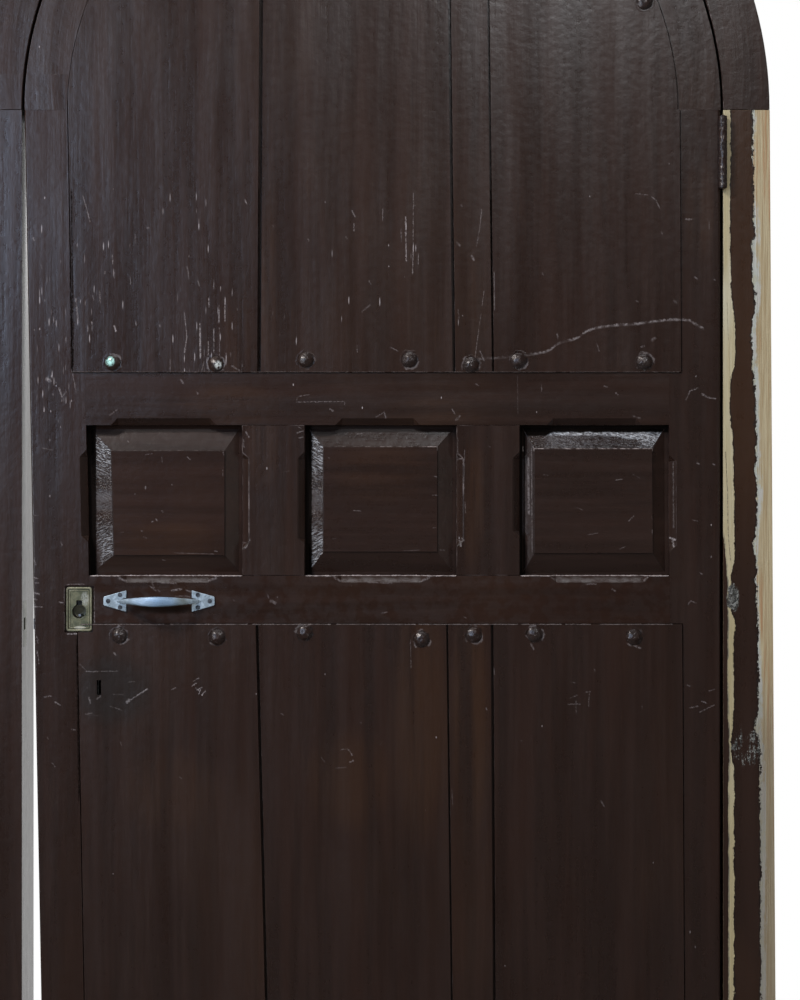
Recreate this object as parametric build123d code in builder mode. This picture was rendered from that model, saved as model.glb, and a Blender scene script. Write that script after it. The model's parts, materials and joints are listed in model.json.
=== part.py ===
from build123d import *
import os
from math import asin, cos, degrees, radians, sin, sqrt

# Arched wooden door in its frame. Millimetres, Z up, X to the right, Y away from the viewer.
# The origin is the middle of the frame's foot.

# Frame
opening_width = 982
springing_height = 1700
frame_depth = 96
frame_face = 65
jamb_splay = 0.0065
stop_width = 14
threshold_height = 20
threshold_stop = 20
threshold_housing = 10
leaf_gap = 3.5
foot_gap = 6
stop_gap = 1
jamb_tenon_height = 50
jamb_tenon_width = 34
jamb_tenon_thickness = 20
crown_key_length = 60
crown_key_height = 30
crown_key_thickness = 14
fixing_spacing = 1000
fixing_height = 400
fixing_radius = 5.5
fixing_depth = 22

# How far a cutting shape passes the face that it cuts
cut_margin = 1

# Leaf framing
leaf_thickness = 45
lock_edge_lean = 0.0187
hinge_line_lean = 0.005
lock_stile_face = 60
hinge_stile_face = 53
stile_lap = 18
head_face = 60
rail_lap = 36
bottom_rail_face = 140
lower_rail_bottom = 981
lower_rail_face = 67
panel_opening_height = 211
upper_rail_face = 73
muntin_left_side = -182.9
muntin_left_width = 88.2
muntin_right_side = 117.4
muntin_right_width = 88.9
lock_arris_radius = 2.5
hinge_arris_radius = 4.5
tenon_length = 48
tenon_thickness = 11
tenon_back_wood = 3
tenon_shoulder = 8
stub_tenon_length = 25
stub_tenon_shoulder = 15
crown_tenon_length = 40
crown_tenon_shoulder = 18
foot_tenon_height = 60
foot_tenon_inset = 14
foot_tenon_width = 44

# Boards above and below the panels
board_thickness = 22
board_proud = 2
rail_gap = 0.8
tongue_thickness = 6
tongue_length = 6
tongue_clearance = 0.2

# Joints between boards: each one's place at the rail with its lean, and the gaps from side to side
upper_joints = ((-159, 0.006), (114, -0.0125), (168.6, -0.0125))
lower_joints = ((-161.8, -0.025), (104.2, -0.0125), (167.2, -0.006))
upper_gaps = (2.6, 5, 4, 2.8, 1.8)
lower_gaps = (2.8, 3.8, 2.6, 3.8, 2.4)

# Panels, with each field's margins in its opening: left, right, top and bottom
panel_thickness = 20
panel_setback = 4
panel_edge_thickness = 9
panel_step = 1.5
panel_reveal = 5
groove_depth = 10
panel_play = 2
field_margins = ((34.4, 24.4, 35.7, 28.3), (25.3, 26.5, 30.1, 33.2), (19.7, 22.9, 32.9, 31.1))

# Stopped chamfers round the openings, each side's distances from its two corners
chamfer_width = 9.5
chamfer_stop = 9
top_stops = ((35, 36), (43, 51), (38, 38))
bottom_stops = ((43, 38), (42, 41), (42, 28))
left_stops = ((47, 35), (43, 38), (54, 38))
right_stops = ((37, 38), (41, 38), (34, 42))

# Studs, with their places on each board: distances from its left and right joints
stud_head_radius = 11
stud_head_height = 5
stud_shank_radius = 3
stud_clearance = 0.1
stud_tip = 2
rove_radius = 9
rove_thickness = 2
upper_stud_insets = ((57, 60), (66, 62), (24, None), (36, 52))
lower_stud_insets = ((60, 55), (67, 35), (38, None), (60, 69))
upper_stud_heights = (14, 12, 18, 18, 11, 17, 15)
lower_stud_drops = (17, 19, 13, 22, 16, 15, 19)
end_stud_inset = 18

# Hinges
hinge_length = 100
hinge_plate_depth = 33
hinge_plate_thickness = 2.5
knuckle_radius = 6
knuckle_count = 5
knuckle_gap = 0.3
hinge_pin_radius = 3
pin_clearance = 0.05
pin_head_radius = 5
pin_head_height = 3
hinge_standoff = 7
lower_hinge_height = 260
upper_hinge_drop = 60
hinge_screw_rows = (-36, -14, 14, 36)
hinge_screw_radius = 2
hinge_screw_head = 4
hinge_screw_length = 30

# Lock
lock_rise = 20.2
lock_backset = 63.6
lock_plate_width = 36
lock_plate_height = 61.8
lock_plate_thickness = 3.5
lock_plate_rim = 3
lock_plate_dish = 1.6
lock_plate_corner = 3
lock_plate_sink = 2
lock_plate_clearance = 1.2
keyhole_radius = 9.8
keyhole_drop = 3.3
keyslot_width = 8
keyslot_top = 15.4
key_pin_radius = 1.8
key_pin_drop = 8.8
key_pin_length = 23
case_front = 14
case_thickness = 15
case_wall = 1.5
case_bottom_drop = 30.9
case_height = 66
case_end = 11.5
forend_thickness = 2.5
forend_width = 21
forend_margin = 16
bolt_height = 15
bolt_thickness = 9
bolt_tail_thickness = 6
bolt_head_length = 37
bolt_rest = 3.5
bolt_clearance = 0.3
talon_width = 16
talon_depth = 7
lever_thickness = 3.2
lever_pivot_offset = -41.5
lever_pivot_rise = 16.8
lever_pivot_radius = 3
lever_stop_radius = 2
lever_heel_length = 8
lever_half_width = 6
lever_belly_drop = 6
lever_belly_length = 9
lever_nose_play = 2
cover_boss_radius = 3.5
cover_boss_inset = 2.5
cover_screw_radius = 1.2
small_screw_radius = 1.4
small_screw_head = 2.6
small_screw_length = 9
screw_margin = 0.6
strike_length = 64
strike_width = 30
strike_thickness = 2
strike_pocket_depth = 16
strike_play = 1
old_keyhole_offset = 28
old_keyhole_drop = 89.5
old_keyhole_width = 6
old_keyhole_length = 21

# Pull handle
handle_left = 98
handle_length = 155.7
handle_rise = 31.6
handle_plate_length = 32
handle_plate_tip = 13
handle_plate_base = 30
handle_plate_thickness = 3
handle_corner = 3
grip_span = 115
grip_rise = 28
grip_height = 14.5
grip_end_height = 6.5
grip_thickness = 7
grip_end_thickness = 5
grip_sections = 9
grip_swell_power = 0.8
grip_overrun = 2
handle_screw_tip_inset = 6.7
handle_screw_base_inset = 23.4
handle_screw_spread = 8.8
handle_screw_radius = 1.6
handle_screw_head = 3.2
handle_screw_length = 18

# Places that follow from the sizes above
opening_radius = opening_width / 2
leaf_radius = opening_radius - leaf_gap
frame_front = -frame_depth / 2
frame_back = frame_depth / 2
leaf_front = frame_front
leaf_back = leaf_front + leaf_thickness
stop_front = leaf_back + stop_gap
board_front = leaf_front - board_proud
board_back = board_front + board_thickness
leaf_bottom = threshold_height + foot_gap
board_radius = leaf_radius - head_face
hinge_heights = (lower_hinge_height, springing_height - upper_hinge_drop)
lower_rail_top = lower_rail_bottom + lower_rail_face
upper_rail_bottom = lower_rail_top + panel_opening_height
upper_rail_top = upper_rail_bottom + upper_rail_face
bottom_rail_top = leaf_bottom + bottom_rail_face
tenon_depths = (leaf_back - tenon_back_wood - tenon_thickness, leaf_back - tenon_back_wood)
panel_front = leaf_front + panel_setback
panel_back = panel_front + panel_thickness
groove_front = panel_back - panel_edge_thickness
hinge_axis = (opening_radius - leaf_gap / 2, leaf_front - hinge_standoff)


def lock_edge(z):
    """Lock-side edge of the leaf at a height."""
    return -leaf_radius + lock_edge_lean * (springing_height - z)


def lock_board_line(z):
    return lock_edge(z) + lock_stile_face


def lock_inner_line(z):
    return lock_board_line(z) + stile_lap


def hinge_board_line(z):
    return leaf_radius - hinge_stile_face - hinge_line_lean * (z - lower_rail_bottom)


def hinge_inner_line(z):
    return hinge_board_line(z) - stile_lap


def upright(x):
    """Line that stays at one place at every height."""
    return lambda z: x


def joint_line(joint, foot):
    """Line of a joint between boards, given at the mid rail's edge with its lean."""
    place, lean = joint
    return lambda z: place + lean * (z - foot)


def facing(y):
    """Plane that faces the viewer at a depth, with X to the right and Z up."""
    return Plane(origin=(0, y, 0), x_dir=(1, 0, 0), z_dir=(0, -1, 0))


def between(left, right, bottom, top, grow=0):
    """Outline between two lines and two heights, grown outwards on all sides."""
    low, high = bottom - grow, top + grow
    return [
        (left(low) - grow, low),
        (right(low) + grow, low),
        (right(high) + grow, high),
        (left(high) - grow, high),
    ]


def slab(points, front, back, mode=Mode.ADD):
    """Flat piece with an outline in X and Z, between two depths."""
    with BuildSketch(facing(back)) as outline:
        Polygon(*points, align=None)
    extrude(outline.sketch, amount=back - front, mode=mode)


def block(x_range, y_range, z_range, mode=Mode.ADD):
    """Box between two places along each axis."""
    middle = [sum(ends) / 2 for ends in (x_range, y_range, z_range)]
    size = [abs(ends[1] - ends[0]) for ends in (x_range, y_range, z_range)]
    with Locations(tuple(middle)):
        Box(*size, mode=mode)


def rod(x, z, front, back, radius, mode=Mode.ADD):
    """Round rod along Y between two depths."""
    with BuildSketch(facing(back)) as section:
        with Locations((x, z)):
            Circle(radius)
    extrude(section.sketch, amount=back - front, mode=mode)


def screws(places, into, size, mode=Mode.ADD, grow=0):
    """Countersunk screws from the places of their heads, or their holes, grown a little."""
    radius, head, length = [value + grow for value in size]
    sink = head - radius
    profile_points = [(0, 0), (head, 0), (radius, sink), (radius, length), (0, length)]
    for place in places:
        plane = Plane(origin=place, x_dir=(0, 0, 1), z_dir=Vector(0, 0, 1).cross(Vector(*into)))
        with BuildSketch(plane) as profile:
            Polygon(*profile_points, align=None)
        revolve(profile.sketch, axis=Axis(place, into), mode=mode)


def write(piece, name):
    piece.part.label = name
    export_step(piece.part, f"parts/{name}.step")


os.makedirs("parts", exist_ok=True)

to_right = (1, 0, 0)
to_left = (-1, 0, 0)
to_back = (0, 1, 0)


# Openings for the panels
left_muntin = (muntin_left_side, muntin_left_side + muntin_left_width)
right_muntin = (muntin_right_side, muntin_right_side + muntin_right_width)
panel_sides = (
    (lock_inner_line, upright(left_muntin[0])),
    (upright(left_muntin[1]), upright(right_muntin[0])),
    (upright(right_muntin[1]), hinge_inner_line),
)


def cut_panel_grooves():
    for left, right in panel_sides:
        outline = between(left, right, lower_rail_top, upper_rail_bottom, groove_depth)
        slab(outline, groove_front, panel_back, Mode.SUBTRACT)


def cut_stopped_chamfer(start, end, into_wood):
    """Chamfer along an arris of the leaf's front face, with sloping stops."""
    edge = Vector(end[0] - start[0], 0, end[1] - start[1])
    out = (Vector(0, -1, 0) - Vector(into_wood[0], 0, into_wood[1])).normalized()
    middle = ((start[0] + end[0]) / 2, leaf_front, (start[1] + end[1]) / 2)
    depth = chamfer_width / sqrt(2)
    long_side, short_side = edge.length / 2 + chamfer_stop / depth, edge.length / 2 - chamfer_stop
    cutter = Plane(origin=middle, x_dir=edge.normalized(), z_dir=edge.normalized().cross(out))
    points = [
        (-short_side, -depth),
        (short_side, -depth),
        (long_side, cut_margin),
        (-long_side, cut_margin),
    ]
    with BuildSketch(cutter) as profile:
        Polygon(*points, align=None)
    extrude(profile.sketch, amount=chamfer_width, both=True, mode=Mode.SUBTRACT)


def cut_opening_chamfers():
    """All the stopped chamfers round the three openings."""
    low, high = lower_rail_top, upper_rail_bottom
    rows = zip(panel_sides, top_stops, bottom_stops, left_stops, right_stops)
    for (left, right), top, bottom, left_stop, right_stop in rows:
        cut_stopped_chamfer((left(high) + top[0], high), (right(high) - top[1], high), (0, 1))
        cut_stopped_chamfer((left(low) + bottom[0], low), (right(low) - bottom[1], low), (0, -1))
        start, end = low + left_stop[0], high - left_stop[1]
        cut_stopped_chamfer((left(start), start), (left(end), end), (-1, 0))
        start, end = low + right_stop[0], high - right_stop[1]
        cut_stopped_chamfer((right(start), start), (right(end), end), (1, 0))


# Tenons of the rails: each rail's height range, with the part behind the boards
rail_spans = {
    "bottom_rail": (leaf_bottom, bottom_rail_top + rail_lap),
    "lower_mid_rail": (lower_rail_bottom - rail_lap, lower_rail_top),
    "upper_mid_rail": (upper_rail_bottom, upper_rail_top + rail_lap),
}


def rail_tenon(name, line, side, mode):
    """Tenon at one end of a rail, or its mortise. The side is -1 at the lock stile."""
    low, high = rail_spans[name]
    root = line((low + high) / 2)
    reach = (root - side * tenon_thickness, root + side * tenon_length)
    block(reach, tenon_depths, (low + tenon_shoulder, high - tenon_shoulder), mode)


def muntin_tenons(muntin, mode):
    ends = (muntin[0] + stub_tenon_shoulder, muntin[1] - stub_tenon_shoulder)
    rise = (lower_rail_top - stub_tenon_length, upper_rail_bottom + stub_tenon_length)
    block(ends, tenon_depths, rise, mode)


def head_foot_tenon(side, mode):
    """Tenon of a head rail's foot into the top of a stile."""
    outer = side * (leaf_radius - foot_tenon_inset)
    inner = side * (leaf_radius - foot_tenon_inset - foot_tenon_width)
    rise = (springing_height - foot_tenon_height, springing_height + foot_tenon_inset)
    block((min(outer, inner), max(outer, inner)), tenon_depths, rise, mode)


# Lock places
lock_height = lower_rail_bottom + lock_rise
lock_x = lock_edge(lock_height) + lock_backset
plate_left = lock_x - lock_plate_width / 2
plate_floor = leaf_front + lock_plate_sink
plate_face = plate_floor - lock_plate_thickness
key_height = lock_height - keyhole_drop
case_bottom = lock_height - case_bottom_drop
case_top = case_bottom + case_height
case_right = lock_x + case_end
case_depths = (leaf_front + case_front, leaf_front + case_front + case_thickness)
case_inside = (case_depths[0] + case_wall, case_depths[1] - case_wall)
bolt_low = case_bottom + case_wall + bolt_clearance
bolt_middle = bolt_low + bolt_height / 2
bolt_back = case_inside[1] - bolt_clearance
bolt_tip = lock_edge(bolt_middle) - bolt_rest
lever_pivot = (lock_x + lever_pivot_offset, lock_height + lever_pivot_rise)
forend_low = case_bottom - forend_margin
forend_high = case_top + forend_margin
forend_depths = (
    sum(case_depths) / 2 - forend_width / 2,
    sum(case_depths) / 2 + forend_width / 2,
)
forend_screw_heights = (forend_low + forend_margin / 2, forend_high - forend_margin / 2)


def forend_back(z):
    return lock_edge(z) + forend_thickness


def cut_lock_pocket():
    """Mortise for the lock case and the seat of its forend."""
    slab(between(lock_edge, upright(case_right), case_bottom, case_top), *case_depths, Mode.SUBTRACT)
    slab(between(lock_edge, forend_back, forend_low, forend_high), *forend_depths, Mode.SUBTRACT)


def cut_plate_seat():
    """Seat of the lock plate, a little larger than the plate."""
    grown = lock_plate_clearance
    across = (plate_left - grown, plate_left + lock_plate_width + grown)
    rise = lock_plate_height / 2 + grown
    depths = (board_front - cut_margin, plate_floor)
    block(across, depths, (lock_height - rise, lock_height + rise), Mode.SUBTRACT)


def cut_keyhole(front, back):
    """Round hole with a slot above it."""
    rod(lock_x, key_height, front, back, keyhole_radius, Mode.SUBTRACT)
    slot = (lock_x - keyslot_width / 2, lock_x + keyslot_width / 2)
    block(slot, (front, back), (key_height, key_height + keyslot_top), Mode.SUBTRACT)


small_screw_size = (small_screw_radius, small_screw_head, small_screw_length)
plate_screw_inset = lock_plate_rim + small_screw_head + screw_margin
plate_screw_across = lock_plate_width / 2 - plate_screw_inset
plate_screw_rise = lock_plate_height / 2 - plate_screw_inset
plate_screw_places = [
    (lock_x + side * plate_screw_across, plate_face + lock_plate_dish, lock_height + end * plate_screw_rise)
    for side in (-1, 1)
    for end in (-1, 1)
]
forend_screw_places = [(lock_edge(z), sum(forend_depths) / 2, z) for z in forend_screw_heights]


# Pull handle places
handle_height = lower_rail_bottom + handle_rise
handle_start = lock_edge(handle_height) + handle_left
handle_middle = handle_start + handle_length / 2
handle_seat = leaf_front - handle_plate_thickness
handle_screw_size = (handle_screw_radius, handle_screw_head, handle_screw_length)
handle_screw_places = [
    (handle_middle + side * (handle_length / 2 - inset), handle_seat, handle_height + offset)
    for side in (-1, 1)
    for inset, offset in (
        (handle_screw_tip_inset, 0),
        (handle_screw_base_inset, handle_screw_spread),
        (handle_screw_base_inset, -handle_screw_spread),
    )
]

# Hinge places: the leaf's plate lies in its edge, the frame's plate in the jamb
leaf_plate = (leaf_radius - hinge_plate_thickness, leaf_radius)
jamb_plate = (opening_radius, opening_radius + hinge_plate_thickness)
plate_depths = (leaf_front, leaf_front + hinge_plate_depth)
hinge_screw_depths = (
    leaf_front + hinge_plate_depth / 3,
    leaf_front + 2 * hinge_plate_depth / 3,
)


def cut_hinge_seats(plate):
    for height in hinge_heights:
        rise = (height - hinge_length / 2, height + hinge_length / 2)
        block(plate, (plate_depths[0] - cut_margin, plate_depths[1]), rise, Mode.SUBTRACT)


hinge_screw_size = (hinge_screw_radius, hinge_screw_head, hinge_screw_length)


def hinge_screw_places(face):
    """Places of the screw heads on a plate's face, staggered in two columns."""
    return [
        (face, hinge_screw_depths[index % 2], height + row)
        for height in hinge_heights
        for index, row in enumerate(hinge_screw_rows)
    ]


# Lock stile
with BuildPart() as lock_stile:
    slab(between(lock_edge, lock_inner_line, leaf_bottom, springing_height), leaf_front, leaf_back)
    front_arris = lock_stile.edges().filter_by_position(Axis.Y, leaf_front, leaf_front).sort_by(Axis.X)[0]
    fillet(front_arris, lock_arris_radius)
    for low, high in ((bottom_rail_top, lower_rail_bottom), (upper_rail_top, springing_height)):
        lap = between(lock_board_line, lock_inner_line, low, high)
        slab(lap, leaf_front, board_back, Mode.SUBTRACT)
    for rail in rail_spans:
        rail_tenon(rail, lock_inner_line, -1, Mode.SUBTRACT)
    head_foot_tenon(-1, Mode.SUBTRACT)
    cut_panel_grooves()
    cut_opening_chamfers()
    cut_lock_pocket()
    cut_plate_seat()
    cut_keyhole(plate_face, case_depths[0])
    screws(plate_screw_places, to_back, small_screw_size, Mode.SUBTRACT, pin_clearance)
    screws(forend_screw_places, to_right, small_screw_size, Mode.SUBTRACT, pin_clearance)
write(lock_stile, "lock_stile")

# Hinge stile
with BuildPart() as hinge_stile:
    outline = between(hinge_inner_line, upright(leaf_radius), leaf_bottom, springing_height)
    slab(outline, leaf_front, leaf_back)
    front_arris = hinge_stile.edges().filter_by_position(Axis.Y, leaf_front, leaf_front).sort_by(Axis.X)[-1]
    fillet(front_arris, hinge_arris_radius)
    for low, high in ((bottom_rail_top, lower_rail_bottom), (upper_rail_top, springing_height)):
        lap = between(hinge_inner_line, hinge_board_line, low, high)
        slab(lap, leaf_front, board_back, Mode.SUBTRACT)
    for rail in rail_spans:
        rail_tenon(rail, hinge_inner_line, 1, Mode.SUBTRACT)
    head_foot_tenon(1, Mode.SUBTRACT)
    cut_panel_grooves()
    cut_opening_chamfers()
    cut_hinge_seats(leaf_plate)
    screws(hinge_screw_places(leaf_radius), to_left, hinge_screw_size, Mode.SUBTRACT, pin_clearance)
write(hinge_stile, "hinge_stile")

# Places of the board joints, and of the studs along each joint row
upper_lines = [
    lock_board_line,
    *[joint_line(joint, upper_rail_top) for joint in upper_joints],
    hinge_board_line,
]
lower_lines = [
    lock_board_line,
    *[joint_line(joint, lower_rail_bottom) for joint in lower_joints],
    hinge_board_line,
]


def stud_columns(lines, insets, height):
    """Places across the leaf of the studs in a row: one or two on each board."""
    places = []
    for left, right, (left_inset, right_inset) in zip(lines, lines[1:], insets):
        places.append(left(height) + left_inset)
        if right_inset is not None:
            places.append(right(height) - right_inset)
    return places


upper_columns = stud_columns(upper_lines, upper_stud_insets, upper_rail_top)
lower_columns = stud_columns(lower_lines, lower_stud_insets, lower_rail_bottom)
arch_row_radius = board_radius - end_stud_inset
stud_places = [(x, upper_rail_top + rise) for x, rise in zip(upper_columns, upper_stud_heights)]
stud_places += [(x, lower_rail_bottom - drop) for x, drop in zip(lower_columns, lower_stud_drops)]
stud_places += [(x, springing_height + sqrt(arch_row_radius**2 - x**2)) for x in upper_columns]
stud_places += [(x, bottom_rail_top + end_stud_inset) for x in lower_columns]


def cut_stud_holes(low, high):
    """Holes for the studs whose heights lie in a range."""
    for x, z in stud_places:
        if low < z < high:
            rod(x, z, board_front, leaf_back, stud_shank_radius + stud_clearance, Mode.SUBTRACT)


# Rails between the stiles
def rail_body(name, face_low, face_high):
    """Rail with its full face, its part behind the boards, its tenons and its grooves."""
    low, high = rail_spans[name]
    slab(between(lock_inner_line, hinge_inner_line, face_low, face_high), leaf_front, leaf_back)
    slab(between(lock_inner_line, hinge_inner_line, low, high), board_back, leaf_back)
    rail_tenon(name, lock_inner_line, -1, Mode.ADD)
    rail_tenon(name, hinge_inner_line, 1, Mode.ADD)
    cut_stud_holes(low, high)


with BuildPart() as upper_mid_rail:
    rail_body("upper_mid_rail", upper_rail_bottom, upper_rail_top)
    cut_panel_grooves()
    cut_opening_chamfers()
    for muntin in (left_muntin, right_muntin):
        muntin_tenons(muntin, Mode.SUBTRACT)
write(upper_mid_rail, "upper_mid_rail")

with BuildPart() as lower_mid_rail:
    rail_body("lower_mid_rail", lower_rail_bottom, lower_rail_top)
    cut_panel_grooves()
    cut_opening_chamfers()
    for muntin in (left_muntin, right_muntin):
        muntin_tenons(muntin, Mode.SUBTRACT)
    cut_plate_seat()
    cut_keyhole(plate_face, case_depths[0])
    screws(plate_screw_places, to_back, small_screw_size, Mode.SUBTRACT, pin_clearance)
    screws(handle_screw_places, to_back, handle_screw_size, Mode.SUBTRACT, pin_clearance)
write(lower_mid_rail, "lower_mid_rail")

with BuildPart() as bottom_rail:
    rail_body("bottom_rail", leaf_bottom, bottom_rail_top)
write(bottom_rail, "bottom_rail")

# Muntins between the panels
for name, muntin in (("muntin_left", left_muntin), ("muntin_right", right_muntin)):
    with BuildPart() as muntin_piece:
        block(muntin, (leaf_front, leaf_back), (lower_rail_top, upper_rail_bottom))
        muntin_tenons(muntin, Mode.ADD)
        cut_panel_grooves()
        cut_opening_chamfers()
    write(muntin_piece, name)


# Arched head of the leaf
def ring_quarter(inner, outer, side, front, back, mode=Mode.ADD):
    """Quarter of a ring about the arch's centre, on the side -1 or 1."""
    with BuildSketch(facing(back)) as quarter:
        with Locations((0, springing_height)):
            Circle(outer)
            Circle(inner, mode=Mode.SUBTRACT)
        with Locations((side * outer / 2, springing_height + outer / 2)):
            Rectangle(outer, outer, mode=Mode.INTERSECT)
    extrude(quarter.sketch, amount=back - front, mode=mode)


def crown_tenon(mode):
    """Tenon across the crown, from the left half of the head into the right."""
    rise = (
        springing_height + board_radius - rail_lap + crown_tenon_shoulder,
        springing_height + leaf_radius - crown_tenon_shoulder,
    )
    block((-tenon_thickness, crown_tenon_length), tenon_depths, rise, mode)


for name, side, crown_mode in (("head_rail_left", -1, Mode.ADD), ("head_rail_right", 1, Mode.SUBTRACT)):
    with BuildPart() as head_rail:
        ring_quarter(board_radius, leaf_radius, side, leaf_front, leaf_back)
        ring_quarter(board_radius - rail_lap, leaf_radius, side, board_back, leaf_back)
        head_foot_tenon(side, Mode.ADD)
        crown_tenon(crown_mode)
        cut_stud_holes(springing_height, springing_height + leaf_radius)
    write(head_rail, name)

# Raised and fielded panels
for name, (left, right), margins in zip(
    ("panel_left", "panel_middle", "panel_right"), panel_sides, field_margins
):
    low, high = lower_rail_top, upper_rail_bottom
    field_sides = [
        (left(low) + margins[0], low + margins[3]),
        (right(low) - margins[1], low + margins[3]),
        (right(high) - margins[1], high - margins[2]),
        (left(high) + margins[0], high - margins[2]),
    ]
    with BuildPart() as panel:
        slab(between(left, right, low, high, groove_depth - panel_play), groove_front, panel_back)
        with BuildSketch(facing(groove_front)):
            Polygon(*between(left, right, low, high, -panel_reveal), align=None)
        with BuildSketch(facing(panel_front + panel_step)):
            Polygon(*field_sides, align=None)
        loft()
        slab(field_sides, panel_front, panel_front + panel_step)
    write(panel, name)


# Boards
def board(name, lines, gaps, place, low, high, arched):
    """One board between two joints, with a tongue on its right edge and a groove in its left."""
    left, right = lines[place], lines[place + 1]
    last = place == len(lines) - 2
    left_gap, right_gap = gaps[place] / 2, gaps[place + 1] / 2
    outline = between(lambda z: left(z) + left_gap, lambda z: right(z) - right_gap, low, high)
    tongue_front = board_front + (board_thickness - tongue_thickness) / 2
    with BuildPart() as piece:
        slab(outline, board_front, board_back)
        if not last:
            root = 2 * right_gap
            reach = between(lambda z: right(z) - root, lambda z: right(z) + tongue_length, low, high)
            slab(reach, tongue_front, tongue_front + tongue_thickness)
        if place > 0:
            groove = tongue_length + tongue_clearance
            ends = (low - cut_margin, high + cut_margin)
            cut = between(left, lambda z: left(z) + groove, *ends)
            edges = (tongue_front - tongue_clearance, tongue_front + tongue_thickness + tongue_clearance)
            slab(cut, *edges, Mode.SUBTRACT)
        if arched:
            with BuildSketch(facing(board_back)) as space:
                with Locations((0, springing_height)):
                    Circle(board_radius - rail_gap)
                with Locations((0, springing_height / 2)):
                    Rectangle(2 * leaf_radius, springing_height)
            extrude(space.sketch, amount=board_thickness, mode=Mode.INTERSECT)
        cut_stud_holes(low, high)
        if name == "lower_board_1":
            cut_lock_pocket()
            cut_plate_seat()
            cut_keyhole(plate_face, case_depths[0])
            screws(plate_screw_places, to_back, small_screw_size, Mode.SUBTRACT, pin_clearance)
            slot = lock_x + old_keyhole_offset
            across = (slot - old_keyhole_width / 2, slot + old_keyhole_width / 2)
            middle = lower_rail_bottom - old_keyhole_drop
            rise = (middle - old_keyhole_length / 2, middle + old_keyhole_length / 2)
            block(across, (board_front, board_back), rise, Mode.SUBTRACT)
    write(piece, name)


for place in range(len(upper_lines) - 1):
    crown = springing_height + board_radius
    foot = upper_rail_top + rail_gap
    board(f"upper_board_{place + 1}", upper_lines, upper_gaps, place, foot, crown, True)

for place in range(len(lower_lines) - 1):
    rise = (bottom_rail_top + rail_gap, lower_rail_bottom - rail_gap)
    board(f"lower_board_{place + 1}", lower_lines, lower_gaps, place, *rise, False)

# Clench studs and the roves behind them
dome_radius = (stud_head_radius**2 + stud_head_height**2) / (2 * stud_head_height)
dome_turn = asin(stud_head_radius / dome_radius) / 2
stud_top = board_front - stud_head_height
dome_shoulder = (dome_radius * sin(dome_turn), stud_top + dome_radius * (1 - cos(dome_turn)))
rove_back = leaf_back + rove_thickness
with BuildPart() as stud:
    with BuildSketch(Plane.XY):
        with BuildLine():
            ThreePointArc((0, stud_top), dome_shoulder, (stud_head_radius, board_front))
            Polyline(
                (stud_head_radius, board_front),
                (stud_shank_radius, board_front),
                (stud_shank_radius, rove_back),
                (stud_shank_radius + stud_tip, rove_back),
                (stud_shank_radius, rove_back + stud_tip),
                (0, rove_back + stud_tip),
                (0, stud_top),
            )
        make_face()
    revolve(axis=Axis.Y)

with BuildPart() as board_studs:
    with Locations(*[(x, 0, z) for x, z in stud_places]):
        add(stud.part)
write(board_studs, "board_studs")

with BuildPart() as rove:
    with BuildSketch(facing(rove_back)):
        Circle(rove_radius)
        Circle(stud_shank_radius + stud_clearance, mode=Mode.SUBTRACT)
    extrude(amount=rove_thickness)

with BuildPart() as stud_roves:
    with Locations(*[(x, 0, z) for x, z in stud_places]):
        add(rove.part)
write(stud_roves, "stud_roves")

# Lock plate, a dished brass plate with a raised rim
with BuildPart() as lock_plate:
    with BuildSketch(facing(plate_floor)):
        with Locations((lock_x, lock_height)):
            RectangleRounded(lock_plate_width, lock_plate_height, lock_plate_corner)
    extrude(amount=lock_plate_thickness)
    with BuildSketch(facing(plate_face)):
        with Locations((lock_x, lock_height)):
            RectangleRounded(
                lock_plate_width - 2 * lock_plate_rim,
                lock_plate_height - 2 * lock_plate_rim,
                lock_plate_corner / 2,
            )
    extrude(amount=-lock_plate_dish, mode=Mode.SUBTRACT)
    cut_keyhole(plate_face, plate_floor)
    screws(plate_screw_places, to_back, small_screw_size, Mode.SUBTRACT, pin_clearance)
write(lock_plate, "lock_plate")


with BuildPart() as lock_plate_screws:
    screws(plate_screw_places, to_back, small_screw_size)
write(lock_plate_screws, "lock_plate_screws")

# Lock case with its cover, bolt, lever and pins
cover_screw_places = [
    (forend_back(case_top) + case_wall + cover_boss_inset, case_top - case_wall - cover_boss_inset),
    (case_right - case_wall - cover_boss_inset, case_top - case_wall - cover_boss_inset),
]
bolt_hole = (bolt_low - bolt_clearance, bolt_low + bolt_height + bolt_clearance)
bolt_depths = (bolt_back - bolt_thickness, bolt_back)
bolt_hole_depths = (bolt_depths[0] - bolt_clearance, bolt_depths[1] + bolt_clearance)

with BuildPart() as lock_case:
    slab(between(forend_back, upright(case_right), case_bottom, case_top), case_inside[0], case_depths[1])
    inside = between(
        lambda z: forend_back(z) + case_wall,
        upright(case_right - case_wall),
        case_bottom + case_wall,
        case_top - case_wall,
    )
    slab(inside, case_inside[0], case_inside[1], Mode.SUBTRACT)
    for x, z in cover_screw_places:
        rod(x, z, case_inside[0], case_inside[1], cover_boss_radius)
        rod(x, z, case_inside[0], case_depths[1], cover_screw_radius, Mode.SUBTRACT)
    mouth = (
        forend_back(case_bottom) - cut_margin,
        forend_back(case_bottom) + case_wall + cut_margin,
    )
    block(mouth, bolt_hole_depths, bolt_hole, Mode.SUBTRACT)
write(lock_case, "lock_case")

with BuildPart() as lock_cover:
    cover = between(forend_back, upright(case_right), case_bottom, case_top)
    slab(cover, case_depths[0], case_inside[0])
    cut_keyhole(case_depths[0], case_inside[0])
    for x, z in cover_screw_places:
        rod(x, z, case_depths[0], case_inside[0], cover_screw_radius, Mode.SUBTRACT)
write(lock_cover, "lock_cover")

with BuildPart() as cover_screws:
    for x, z in cover_screw_places:
        rod(x, z, case_depths[0], case_inside[1], cover_screw_radius)
write(cover_screws, "cover_screws")

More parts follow.
